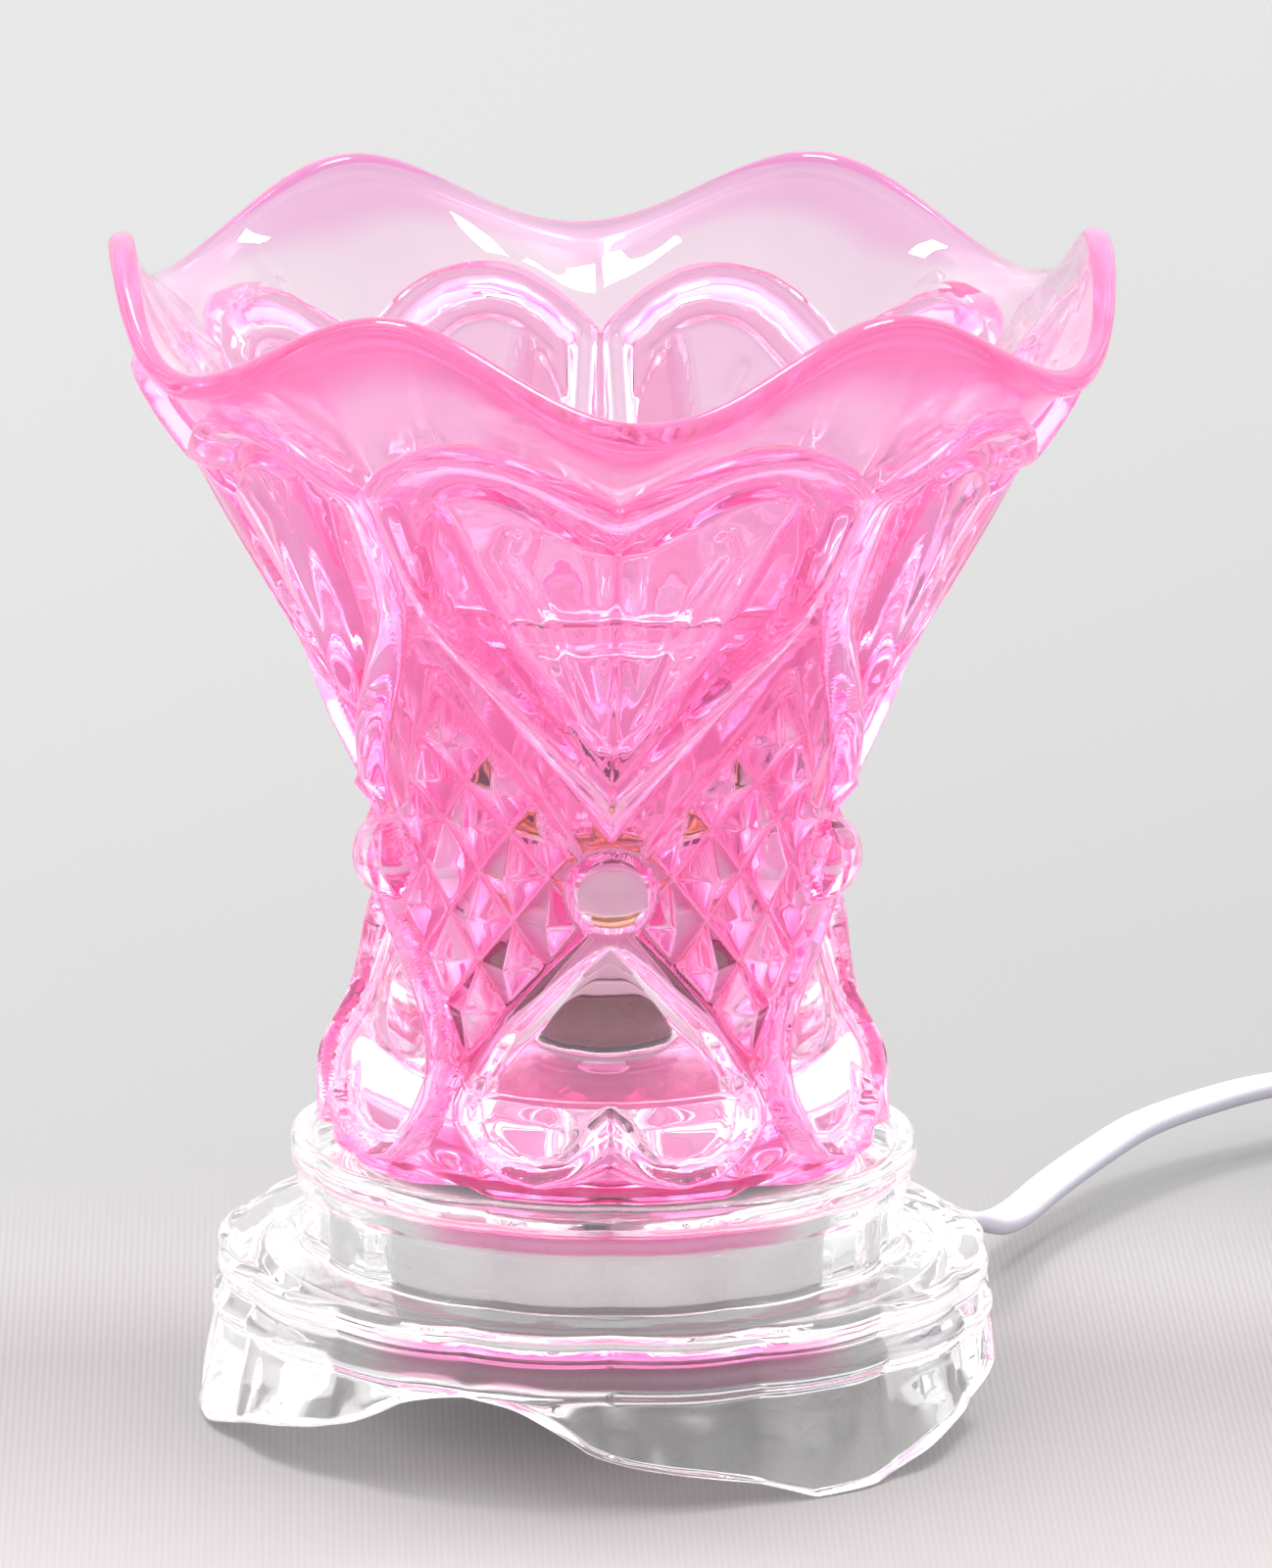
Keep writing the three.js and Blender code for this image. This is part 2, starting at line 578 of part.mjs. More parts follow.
// Terminals and their screws under the carrier
function terminalPlate(side) {
  const x = side * TERMINAL.offset;
  const top = carrierBottom - SEAT_GAP;
  const low = [x - TERMINAL.length / 2, -TERMINAL.width / 2, top - TERMINAL.thickness];
  const high = [x + TERMINAL.length / 2, TERMINAL.width / 2, top];
  const hole = bar(SCREW.shank + BORE_GAP, top - 3, top + 1, SMALL_ROUND).translate(x, 0, 0);
  return cut(block(low, high), hole);
}
function terminalScrew(side) {
  const headTop = carrierBottom - SEAT_GAP - TERMINAL.thickness - SEAT_GAP;
  const profile = [
    [0, headTop - SCREW.headHeight],
    [SCREW.head, headTop - SCREW.headHeight],
    [SCREW.head, headTop],
    [SCREW.shank, headTop],
    [SCREW.shank, carrierBottom + SCREW.bite],
    [0, carrierBottom + SCREW.bite],
  ];
  return turned(profile, SMALL_ROUND).translate(side * TERMINAL.offset, 0, 0);
}
add("terminal_left", terminalPlate(-1), brass);
add("terminal_right", terminalPlate(1), brass);
add("terminal_screw_left", terminalScrew(-1), steel);
add("terminal_screw_right", terminalScrew(1), steel);

// Lamp bulb, which screws into the shell
const tipBottom = contactTop + SEAT_GAP;
const tipTop = tipBottom + BULB_TIP.height;
add("bulb_tip", bar(BULB_TIP.radius, tipBottom, tipTop, SMALL_ROUND), steel);
const insulatorBottom = tipTop + SEAT_GAP;
const insulatorTop = insulatorBottom + INSULATOR.height;
const insulatorProfile = [
  [0, insulatorBottom],
  [INSULATOR.lower, insulatorBottom],
  [INSULATOR.upper, insulatorTop],
  [0, insulatorTop],
];
add("bulb_insulator", turned(insulatorProfile), blackGlass);
const capBottom = insulatorTop + SEAT_GAP;
const capTop = capBottom + CAP_HEIGHT;
// The cap's rolled thread: crests at the full radius.
function capProfile() {
  const points = [[0, capBottom], [CAP_RADIUS - 1, capBottom]];
  for (let turn = 0; turn < CAP_THREADS; turn += 1) {
    const z = capBottom + (turn + 0.5) * CAP_PITCH;
    points.push([CAP_RADIUS, z], [CAP_RADIUS - THREAD_DEPTH, z + CAP_PITCH / 2]);
  }
  points.push([CAP_RADIUS, capTop], [CAP_RADIUS - CAP_WALL, capTop]);
  points.push([CAP_RADIUS - CAP_WALL - THREAD_DEPTH, capBottom + CAP_WALL], [0, capBottom + CAP_WALL]);
  return points;
}
add("bulb_cap", turned(capProfile()), brass);
// Glass envelope: a globe on a neck, open at the bottom. The profile runs down its outside and back up inside.
function envelopeProfile() {
  const neckZ = capTop + SEAT_GAP;
  const neck = CAP_RADIUS - 0.1;
  const outer = [];
  const inner = [];
  for (let i = 0; i <= GLOBE_STEPS; i += 1) {
    const angle = (GLOBE_REACH * i) / GLOBE_STEPS;
    const hollow = GLOBE_RADIUS - BULB_WALL;
    outer.push([GLOBE_RADIUS * Math.sin(angle), GLOBE_CENTRE + GLOBE_RADIUS * Math.cos(angle)]);
    inner.unshift([hollow * Math.sin(angle), GLOBE_CENTRE + hollow * Math.cos(angle)]);
  }
  return [...outer, [neck, neckZ], [neck - BULB_WALL, neckZ], ...inner];
}
add("bulb_envelope", turned(envelopeProfile()), bulbGlass);
// Flared glass stem, its two wires and support, and the filament's arch over them
const stemTop = GLOBE_CENTRE - 2.9;
const stemProfile = [
  [0, capTop - 4.2],
  [4.7, capTop - 3],
  [2.4, capTop + 0.3],
  [1.9, capTop + 2.8],
  [2.2, stemTop - 0.6],
  [0, stemTop],
];
add("bulb_stem", turned(stemProfile), bulbGlass);
const fineWire = (points, steps) => tube(points, FILAMENT_WIRE, FILAMENT_WIRE, 6, steps);
const glow = GLOBE_CENTRE;
const legPoints = (side) => [
  [side * 1.2, 0, glow - 2.5],
  [side * 1.5, 0, glow - 0.5],
  [side * 3.4, 0, glow + 3.7],
];
const supportPoints = [[0, 0, glow - 2.6], [0, 1.1, glow + 0.5], [0, 1.1, glow + 4.5]];
add("filament_leg_left", fineWire(legPoints(-1), 4), tungsten);
add("filament_leg_right", fineWire(legPoints(1), 4), tungsten);
add("filament_support", fineWire(supportPoints, 4), tungsten);
const filamentPoints = [
  [-3.6, 0, glow + 4.4],
  [-3, 0, glow + 6.1],
  [0, 0, glow + 7.2],
  [3, 0, glow + 6.1],
  [3.6, 0, glow + 4.4],
];
add("filament", fineWire(filamentPoints, 12), tungsten);

// Oil dish
function dishProfile() {
  const wallAt = (z) => inside(z) - SEAT_GAP - 0.1;
  const seat = wallAt(DISH_SEAT);
  const lip = wallAt(DISH_LIP);
  const low = wallAt(DISH_SEAT - 3) - 2.4;
  const floor = DISH_BOTTOM + DISH_WALL;
  return [
    [0, DISH_BOTTOM + 0.5],
    [DISH_FOOT_RADIUS - 2, DISH_BOTTOM + 0.5],
    [DISH_FOOT_RADIUS - 1.2, DISH_BOTTOM],
    [DISH_FOOT_RADIUS, DISH_BOTTOM],
    [DISH_FOOT_RADIUS + 8, DISH_BOTTOM + 1.6],
    [low, DISH_SEAT - 3],
    [seat, DISH_SEAT],
    [lip, DISH_LIP - 0.6],
    [lip - 0.6, DISH_LIP],
    [seat - DISH_WALL, DISH_LIP - 0.4],
    [low - DISH_WALL, DISH_SEAT - 1.4],
    [DISH_FOOT_RADIUS + 7, floor + 1.5],
    [DISH_FOOT_RADIUS - 1, floor],
    [0, floor],
  ];
}
add("oil_dish", turned(dishProfile(), WIDE_ROUND), dishGlass);

// Cord bushing through the skirt
function bushingProfile() {
  const neck = BUSHING.hole - BORE_GAP;
  const wallInside = BUSHING.inner + BUSHING.lip;
  const wallOutside = FOOT_RADIUS;
  return [
    [0, BUSHING.inner],
    [neck + 0.6, BUSHING.inner],
    [neck, wallInside],
    [neck, wallOutside],
    [BUSHING.flange, wallOutside],
    [BUSHING.flange, wallOutside + BUSHING.flangeDepth],
    [neck, wallOutside + BUSHING.flangeDepth + 0.6],
    [BUSHING.tip, BUSHING.outer],
    [0, BUSHING.outer],
  ];
}
add("cord_bushing", aim(turned(bushingProfile()), EXIT_AZIMUTH, EXIT_HEIGHT), whiteFlex);

// Cord inside the base and its two leads
const [exitX, exitY] = bearing(EXIT_AZIMUTH);
const outward = (distance, z = EXIT_HEIGHT) => [exitX * distance, exitY * distance, z];
const innerEnd = 11;
const innerCordPoints = [
  outward(BUSHING.inner - SEAT_GAP),
  outward(40),
  outward(30, 10.2),
  outward(17, 8.4),
  outward(innerEnd, 8.4),
];
const halfWide = CORD_WIDTH / 2;
const halfThick = CORD_THICKNESS / 2;
add("inner_cord", tube(innerCordPoints, halfWide, halfThick, 8, 6), whiteFlex);
const leadRadius = 1;
function leadPoints(side) {
  const startZ = 8.4 + side * 1.3;
  const x = side * 1.6;
  return [
    outward(innerEnd - SEAT_GAP, startZ),
    [exitX * 6 + x * 0.4, exitY * 6, startZ + 1],
    [x, 0.8, 17],
    [x, 0, TUBE_BOTTOM + 1],
    [x, 0, 40],
    [x, 0, TUBE_TOP],
    [x * 1.2, 0, TUBE_TOP + 2.5],
    [side * (TERMINAL.offset - TERMINAL.length / 2 - SEAT_GAP - leadRadius), 0, carrierBottom - SEAT_GAP],
  ];
}
add("inner_lead_left", tube(leadPoints(-1), leadRadius, leadRadius, 6, 14), whiteFlex);
add("inner_lead_right", tube(leadPoints(1), leadRadius, leadRadius, 6, 14), whiteFlex);

// Route of the free cord: out of the bushing, over the table to the dimmer, then to the coil and the plug
const dimmerAxis = [-Math.sin(radians(DIMMER.turn)), -Math.cos(radians(DIMMER.turn))];
const cordLevel = DIMMER.lower + SEAT_GAP / 2;
const dimmerEnd = (way) => {
  const reach = way * (DIMMER.length / 2 + SEAT_GAP);
  return [DIMMER.x + dimmerAxis[0] * reach, DIMMER.y + dimmerAxis[1] * reach];
};
const beforeDimmer = dimmerEnd(-1);
const afterDimmer = dimmerEnd(1);
const firstRun = [
  outward(BUSHING.outer + SEAT_GAP),
  outward(BUSHING.outer + 4, EXIT_HEIGHT - 0.2),
  [57.2, 61.8, 8.4],
  [61.4, 74.5, 6.5],
  [66.8, 87.3, 7],
  [74, 101.2, 8],
  [81.7, 113.9, 9],
  [91.9, 125.5, 9.5],
  [101.9, 134.2, 9.7],
  [113, 142.4, 8.8],
  [126, 149.6, 5.4],
  [139, 153.6, 3.2],
  [151, 153.2, 3.2],
  [160.5, 148.4, 5.2],
  [beforeDimmer[0] - dimmerAxis[0] * 6, beforeDimmer[1] - dimmerAxis[1] * 6, cordLevel - 0.4],
  [beforeDimmer[0], beforeDimmer[1], cordLevel],
];
add("cord_run_1", tube(firstRun, halfWide, halfThick, 8, 20), whiteFlex);
const coilLow = COIL.lift + halfWide;
const coilHigh = coilLow + COIL.layerRise;
const secondRun = [
  [afterDimmer[0], afterDimmer[1], cordLevel],
  [afterDimmer[0] + dimmerAxis[0] * 6, afterDimmer[1] + dimmerAxis[1] * 6, cordLevel - 0.6],
  [163.5, 58, 5.4],
  [170.5, 44, 3.8],
  [175, 32, coilLow],
  [COIL.x + COIL.radius, COIL.y + CORD_WIDTH + SEAT_GAP, coilLow],
];
add("cord_run_2", tube(secondRun, halfWide, halfThick, 8, 12), whiteFlex);
const thirdRun = [
  [COIL.x - COIL.radius, COIL.y + CORD_WIDTH + SEAT_GAP, coilHigh],
  [107.4, 33, 9],
  [110, 46, 8.2],
  [116, 58, 7.6],
  [120.8, 68, PLUG.height / 2],
  [PLUG.x, PLUG.y - SEAT_GAP, PLUG.height / 2],
];
add("cord_run_3", tube(thirdRun, halfWide, halfThick, 8, 12), whiteFlex);

// Coil: clockwise from above, in along the table and out again one layer higher
function coilStation(turn) {
  const middle = COIL.turns / 2;
  const radius = COIL.radius - COIL.pitch * (middle - Math.abs(turn - middle));
  const height = mix(coilLow, coilHigh, clamp((turn - middle) * 2 + 0.5, 0, 1));
  const angle = -2 * Math.PI * turn;
  return { radius, height, angle };
}
// Flat six-sided section, long side upright.
function sectionPoint(side) {
  const angle = (2 * Math.PI * side) / COIL_SIDES;
  return [halfThick * Math.sin(angle), halfWide * Math.cos(angle)];
}
function coilPoint(turn, side, ahead = 0) {
  const { radius, height, angle } = coilStation(turn);
  const [across, up] = sectionPoint(side);
  const x = COIL.x + (radius + across) * Math.cos(angle) + ahead * Math.sin(angle);
  const y = COIL.y + (radius + across) * Math.sin(angle) - ahead * Math.cos(angle);
  return [x, y, height + up];
}
function coilGeometry() {
  const stations = COIL.turns * LOOP_STEPS;
  const positions = [];
  for (let side = 0; side < COIL_SIDES; side += 1) positions.push(...coilPoint(0, side, -CORD_WIDTH));
  for (let i = 0; i <= stations; i += 1) {
    for (let side = 0; side < COIL_SIDES; side += 1) positions.push(...coilPoint(i / LOOP_STEPS, side));
  }
  for (let side = 0; side < COIL_SIDES; side += 1) positions.push(...coilPoint(COIL.turns, side, CORD_WIDTH));
  const index = [];
  const lastRing = stations + 2;
  for (let i = 0; i < lastRing; i += 1) {
    for (let side = 0; side < COIL_SIDES; side += 1) {
      const next = (side + 1) % COIL_SIDES;
      const here = i * COIL_SIDES;
      const there = here + COIL_SIDES;
      index.push(here + side, there + next, here + next, here + side, there + side, there + next);
    }
  }
  for (let side = 1; side < COIL_SIDES - 1; side += 1) {
    index.push(0, side, side + 1);
    const end = lastRing * COIL_SIDES;
    index.push(end, end + side + 1, end + side);
  }
  const geometry = new THREE.BufferGeometry();
  geometry.setAttribute("position", new THREE.Float32BufferAttribute(positions, 3));
  geometry.setIndex(index);
  return geometry;
}
// Least gap between one turn and another, on points along the sections' outlines.
function coilLeastGap() {
  const outline = (turn) => {
    const points = [];
    for (let side = 0; side < COIL_SIDES; side += 1) {
      const a = coilPoint(turn, side);
      const b = coilPoint(turn, (side + 1) % COIL_SIDES);
      for (let part = 0; part < 4; part += 1) points.push(a.map((value, k) => mix(value, b[k], part / 4)));
    }
    return points;
  };
  let least = Infinity;
  const stations = COIL.turns * LOOP_STEPS;
  for (let i = 0; i <= stations; i += 1) {
    for (let j = i + LOOP_STEPS; j <= stations; j += LOOP_STEPS) {
      for (const p of outline(i / LOOP_STEPS)) {
        for (const q of outline(j / LOOP_STEPS)) {
          least = Math.min(least, Math.hypot(...p.map((value, k) => value - q[k])));
        }
      }
    }
  }
  return least;
}
console.log(`coil least gap ${coilLeastGap().toFixed(2)} mm`);
add("cord_coil", coilGeometry(), whiteFlex);

// Tie round the coil's turns, at the side nearest the viewer
function tieGeometry() {
  const turnsWide = COIL.pitch * (COIL.turns / 2);
  const inner = COIL.radius - turnsWide - halfThick - TIE.clearance;
  const outer = COIL.radius + halfThick + TIE.clearance;
  const low = COIL.lift - TIE.clearance;
  const high = coilHigh + halfWide + TIE.clearance;
  const wall = TIE.thickness;
  const half = TIE.width / 2;
  const middle = [COIL.x, COIL.y];
  const shell = block(
    [middle[0] - half, middle[1] - outer - wall, low - wall],
    [middle[0] + half, middle[1] - inner + wall, high + wall],
  );
  const room = block(
    [middle[0] - half - 1, middle[1] - outer, low],
    [middle[0] + half + 1, middle[1] - inner, high],
  );
  return cut(shell, room);
}
add("coil_tie", tieGeometry(), blackRubber);

// In-line dimmer: two shells, the wheel between them, its board and two screws
function housingOutline(length, width, corner) {
  const x = width / 2;
  const y = length / 2;
  const shape = new THREE.Shape();
  shape.moveTo(x, -y + corner);
  shape.lineTo(x, y - corner);
  shape.quadraticCurveTo(x, y, x - corner, y);
  shape.lineTo(-x + corner, y);
  shape.quadraticCurveTo(-x, y, -x, y - corner);
  shape.lineTo(-x, -y + corner);
  shape.quadraticCurveTo(-x, -y, -x + corner, -y);
  shape.lineTo(x - corner, -y);
  shape.quadraticCurveTo(x, -y, x, -y + corner);
  return shape;
}
function placeDimmer(geometry) {
  return geometry.rotateZ(-radians(DIMMER.turn)).translate(DIMMER.x, DIMMER.y, 0);
}
const housing = housingOutline(DIMMER.length, DIMMER.width, DIMMER.corner);
const housingBlock = (depth) => {
  return new THREE.ExtrudeGeometry(housing, { depth, bevelEnabled: false, curveSegments: 4 });
};
const lowerBlock = housingBlock(DIMMER.lower);
const upperBottom = DIMMER.lower + SEAT_GAP;
const upperBlock = housingBlock(DIMMER.upper);
upperBlock.translate(0, 0, upperBottom);
const wheelMiddle = DIMMER.lower + SEAT_GAP / 2;
const wheelLow = wheelMiddle - WHEEL.thickness / 2;
const wheelHigh = wheelMiddle + WHEEL.thickness / 2;
const wheelPocket = () => bar(WHEEL.radius + 0.8, wheelLow - BORE_GAP, wheelHigh + BORE_GAP, WHEEL.ribs);
const halfBoard = [BOARD.width / 2 + 0.4, BOARD.length / 2 + 0.4];
const boardPocket = block(
  [-halfBoard[0], -halfBoard[1], BOARD.bottom - SEAT_GAP],
  [halfBoard[0], halfBoard[1], wheelLow],
);
const screwBore = (y) => {
  const boreRadius = HOUSING_SCREW.shank + BORE_GAP;
  const boreTop = upperBottom + HOUSING_SCREW.reach + SEAT_GAP;
  const profile = [
    [0, -1],
    [HOUSING_SCREW.head + BORE_GAP, -1],
    [HOUSING_SCREW.head + BORE_GAP, HOUSING_SCREW.seat],
    [boreRadius, HOUSING_SCREW.seat],
    [boreRadius, boreTop],
    [0, boreTop],
  ];
  return turned(profile, SMALL_ROUND).translate(0, y, 0);
};
const screwPlaces = [-HOUSING_SCREW.offset, HOUSING_SCREW.offset];
const axleTop = wheelHigh + 3.4;
const axleBore = bar(WHEEL.axle + BORE_GAP, wheelHigh - 1, axleTop + SEAT_GAP, SMALL_ROUND);
const lowerCuts = [wheelPocket(), boardPocket, ...screwPlaces.map(screwBore)];
add("dimmer_lower_shell", placeDimmer(cut(lowerBlock, ...lowerCuts)), whitePlastic);
const upperCuts = [wheelPocket(), axleBore, ...screwPlaces.map(screwBore)];
add("dimmer_upper_shell", placeDimmer(cut(upperBlock, ...upperCuts)), whitePlastic);
const boardLow = [-BOARD.width / 2, -BOARD.length / 2, BOARD.bottom];
const boardHigh = [BOARD.width / 2, BOARD.length / 2, BOARD.bottom + BOARD.thickness];
add("dimmer_board", placeDimmer(block(boardLow, boardHigh)), boardGreen);
// Wheel with a ribbed edge and a stub axle above and below.
function wheelGeometry() {
  const shape = new THREE.Shape();
  for (let i = 0; i < WHEEL.ribs * 2; i += 1) {
    const radius = WHEEL.radius - (i % 2 ? WHEEL.ribDepth : 0);
    const angle = (Math.PI * i) / WHEEL.ribs;
    const place = [radius * Math.cos(angle), radius * Math.sin(angle)];
    if (i === 0) shape.moveTo(...place);
    else shape.lineTo(...place);
  }
  shape.closePath();
  const disc = new THREE.ExtrudeGeometry(shape, { depth: WHEEL.thickness, bevelEnabled: false });
  disc.translate(0, 0, wheelLow);
  const axleBottom = BOARD.bottom + BOARD.thickness + SEAT_GAP;
  return join(disc, bar(WHEEL.axle, axleBottom, axleTop, SMALL_ROUND));
}
add("dimmer_wheel", placeDimmer(wheelGeometry()), whitePlastic);
function dimmerScrew(y) {
  const headTop = HOUSING_SCREW.seat - SEAT_GAP;
  const headBottom = headTop - HOUSING_SCREW.headHeight;
  const screwTop = upperBottom + HOUSING_SCREW.reach;
  const profile = [
    [0, headBottom],
    [HOUSING_SCREW.head, headBottom],
    [HOUSING_SCREW.head, headTop],
    [HOUSING_SCREW.shank, headTop],
    [HOUSING_SCREW.shank, screwTop],
    [0, screwTop],
  ];
  return placeDimmer(turned(profile, SMALL_ROUND).translate(0, y, 0));
}
add("dimmer_screw_1", dimmerScrew(screwPlaces[0]), steel);
add("dimmer_screw_2", dimmerScrew(screwPlaces[1]), steel);

// Two-pin plug
function plugBody() {
  const half = PLUG.width / 2;
  const tail = PLUG.tail / 2;
  const shape = new THREE.Shape();
  shape.moveTo(-tail, 0);
  shape.lineTo(tail, 0);
  shape.quadraticCurveTo(tail, PLUG.length * 0.4, half, PLUG.length * 0.6);
  shape.lineTo(half, PLUG.length);
  shape.lineTo(-half, PLUG.length);
  shape.lineTo(-half, PLUG.length * 0.6);
  shape.quadraticCurveTo(-tail, PLUG.length * 0.4, -tail, 0);
  const body = new THREE.ExtrudeGeometry(shape, { depth: PLUG.height, bevelEnabled: false, curveSegments: 5 });
  const sockets = [-1, 1].map((side) => {
    const x = (side * BLADE.spacing) / 2;
    const halfX = BLADE.thickness / 2 + SEAT_GAP;
    const halfZ = BLADE.width / 2 + SEAT_GAP;
    const depth = PLUG.length - BLADE.root - SEAT_GAP;
    return block(
      [x - halfX, depth, PLUG.height / 2 - halfZ],
      [x + halfX, PLUG.length + 1, PLUG.height / 2 + halfZ],
    );
  });
  return cut(body, ...sockets).translate(PLUG.x, PLUG.y, 0);
}
function plugBlade(side) {
  const x = (side * BLADE.spacing) / 2;
  const start = PLUG.length - BLADE.root;
  const end = PLUG.length + BLADE.length;
  const middle = PLUG.height / 2;
  const blade = block(
    [x - BLADE.thickness / 2, start, middle - BLADE.width / 2],
    [x + BLADE.thickness / 2, end, middle + BLADE.width / 2],
  );
  const hole = bar(BLADE.hole, -3, 3, SMALL_ROUND).rotateY(Math.PI / 2).translate(x, end - 4, middle);
  return cut(blade, hole).translate(PLUG.x, PLUG.y, 0);
}
add("plug_body", plugBody(), whitePlastic);
add("plug_blade_1", plugBlade(-1), brass);
add("plug_blade_2", plugBlade(1), brass);

export default group;
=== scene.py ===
import math

import bmesh
import bpy
import numpy as np
from mathutils import Matrix, Vector


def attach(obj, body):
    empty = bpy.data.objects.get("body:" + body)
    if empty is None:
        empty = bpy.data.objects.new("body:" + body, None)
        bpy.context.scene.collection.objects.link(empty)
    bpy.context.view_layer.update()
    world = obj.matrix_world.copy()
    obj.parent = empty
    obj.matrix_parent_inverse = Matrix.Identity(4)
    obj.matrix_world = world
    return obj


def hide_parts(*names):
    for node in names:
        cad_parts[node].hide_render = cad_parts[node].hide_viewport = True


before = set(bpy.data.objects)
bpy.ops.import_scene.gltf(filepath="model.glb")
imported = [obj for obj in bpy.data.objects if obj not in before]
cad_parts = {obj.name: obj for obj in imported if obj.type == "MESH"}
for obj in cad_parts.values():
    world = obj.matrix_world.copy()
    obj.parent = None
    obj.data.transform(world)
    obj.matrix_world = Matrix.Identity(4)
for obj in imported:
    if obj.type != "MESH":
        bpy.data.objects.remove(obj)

# Lengths are millimetres, but metres in the materials, the lights and the stage.
# Azimuth 0 faces the viewer and 90 is to the right.
MM = 0.001
BODY, BULB, DISH, WHEEL = "burner_body", "lamp_bulb", "lift_out_dish", "dimmer_control"
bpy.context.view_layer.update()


# Small maths
def smooth(low, high, value):
    t = np.clip((value - low) / (high - low), 0, 1)
    return t * t * (3 - 2 * t)


def mix(a, b, t):
    return a + (b - a) * t


def bump(share, power):
    """1 in the middle of a band and 0 at its edges."""
    return 1 - np.abs(2 * np.clip(share, 0, 1) - 1) ** power


def ridge(distance, width):
    """1 on a line and soft down to 0 beside it."""
    return np.exp(-((distance / width) ** 2))


def along(points, position):
    """Smooth curve through [place, value] points."""
    x, y = np.array(points, float).T
    slope = np.empty_like(y)
    slope[1:-1] = (y[2:] - y[:-2]) / (x[2:] - x[:-2])
    slope[0] = (y[1] - y[0]) / (x[1] - x[0])
    slope[-1] = (y[-1] - y[-2]) / (x[-1] - x[-2])
    at = np.clip(position, x[0], x[-1])
    i = np.clip(np.searchsorted(x, at, side="right") - 1, 0, len(x) - 2)
    span = x[i + 1] - x[i]
    t = (at - x[i]) / span
    start = y[i] * (1 + 2 * t) * (1 - t) ** 2 + slope[i] * span * t * (1 - t) ** 2
    end = y[i + 1] * (3 - 2 * t) * t**2 + slope[i + 1] * span * (t - 1) * t**2
    return start + end


def bearing(degrees):
    return np.sin(np.radians(degrees)), -np.cos(np.radians(degrees))


def circle(count, shift=0.0):
    """Angles evenly round a circle."""
    return 2 * np.pi * (np.arange(count) + shift) / count


def ring_row(angle, radius, height, centre=(0, 0)):
    """Points round an upright axis, at a radius that may change with the angle."""
    x, y = radius * np.cos(angle) + centre[0], radius * np.sin(angle) + centre[1]
    return np.stack([x, y, np.full(len(angle), height)], 1)


def directions(path):
    forward = np.gradient(path, axis=0)
    return forward / np.linalg.norm(forward, axis=1)[:, None]


def unit(vectors):
    return vectors / np.linalg.norm(vectors, axis=1)[:, None]


def finish_object(name, mesh, looks, body, replaced):
    """A piece that rides on its body. Its slot is that of its first look."""
    obj = bpy.data.objects.new(name, mesh)
    bpy.context.scene.collection.objects.link(obj)
    for look in looks:
        mesh.materials.append(look)
    mesh.polygons.foreach_set("use_smooth", [True] * len(mesh.polygons))
    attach(obj, body)
    if replaced:
        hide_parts(*replaced)
    return obj


def fix_normals(obj):
    bm = bmesh.new()
    bm.from_mesh(obj.data)
    bmesh.ops.recalc_face_normals(bm, faces=bm.faces)
    bm.to_mesh(obj.data)
    bm.free()


def sharpen(obj, degrees=50):
    bm = bmesh.new()
    bm.from_mesh(obj.data)
    for edge in bm.edges:
        if len(edge.link_faces) == 2 and edge.calc_face_angle(0) > math.radians(degrees):
            edge.smooth = False
    bm.to_mesh(obj.data)
    bm.free()


def new_object(name, vertices, faces, look, body=BODY, replaced=()):
    mesh = bpy.data.meshes.new(name)
    mesh.from_pydata([tuple(v) for v in np.asarray(vertices) * MM], [], [tuple(map(int, f)) for f in faces])
    mesh.update()
    obj = finish_object(name, mesh, [look], body, replaced)
    fix_normals(obj)
    return obj


def grid_mesh(name, points):
    """A closed skin from points[column, row], closed both ways round."""
    columns, rows, _ = points.shape
    index = np.arange(columns * rows).reshape(columns, rows)
    right = np.roll(index, -1, axis=0)
    corners = [index, right, np.roll(right, -1, axis=1), np.roll(index, -1, axis=1)]
    faces = np.stack(corners, -1).reshape(-1, 4)
    mesh = bpy.data.meshes.new(name)
    mesh.vertices.add(columns * rows)
    mesh.vertices.foreach_set("co", (points.reshape(-1, 3) * MM).astype(np.float32).ravel())
    mesh.loops.add(len(faces) * 4)
    mesh.loops.foreach_set("vertex_index", faces.ravel().astype(np.int32))
    mesh.polygons.add(len(faces))
    mesh.polygons.foreach_set("loop_start", np.arange(0, len(faces) * 4, 4, dtype=np.int32))
    mesh.update(calc_edges=True)
    return mesh


def grid_object(name, rows, look, replaced, body=BODY):
    obj = finish_object(name, grid_mesh(name, np.stack(rows, 1)), [look], body, replaced)
    fix_normals(obj)
    return obj


def marked(mesh, name, values):
    attribute = mesh.attributes.new(name, "FLOAT", "POINT")
    attribute.data.foreach_set("value", np.asarray(values, np.float32).ravel())


def tube_faces(rows, count):
    """Faces of a tube with capped ends, made of rows of count points each."""
    faces = [tuple(reversed(range(count)))]
    for low in range(0, (rows - 1) * count, count):
        for k in range(count):
            after = (k + 1) % count
            faces.append((low + k, low + after, low + count + after, low + count + k))
    return faces + [tuple(range((rows - 1) * count, rows * count))]


# Materials
def material(name):
    """A Principled material named after the slot that it finishes."""
    mat = bpy.data.materials.new(name)
    mat.use_nodes = True
    return mat, mat.node_tree, mat.node_tree.nodes["Principled BSDF"]


def node(tree, kind, inputs=None, **settings):
    made = tree.nodes.new("ShaderNode" + kind)
    for key, value in settings.items():
        setattr(made, key, value)
    for key, value in (inputs or {}).items():
        if isinstance(value, bpy.types.NodeSocket):
            tree.links.new(value, made.inputs[key])
        else:
            made.inputs[key].default_value = value
    return made


def maths(tree, operation, first, second):
    return node(tree, "Math", {0: first, 1: second}, operation=operation).outputs[0]


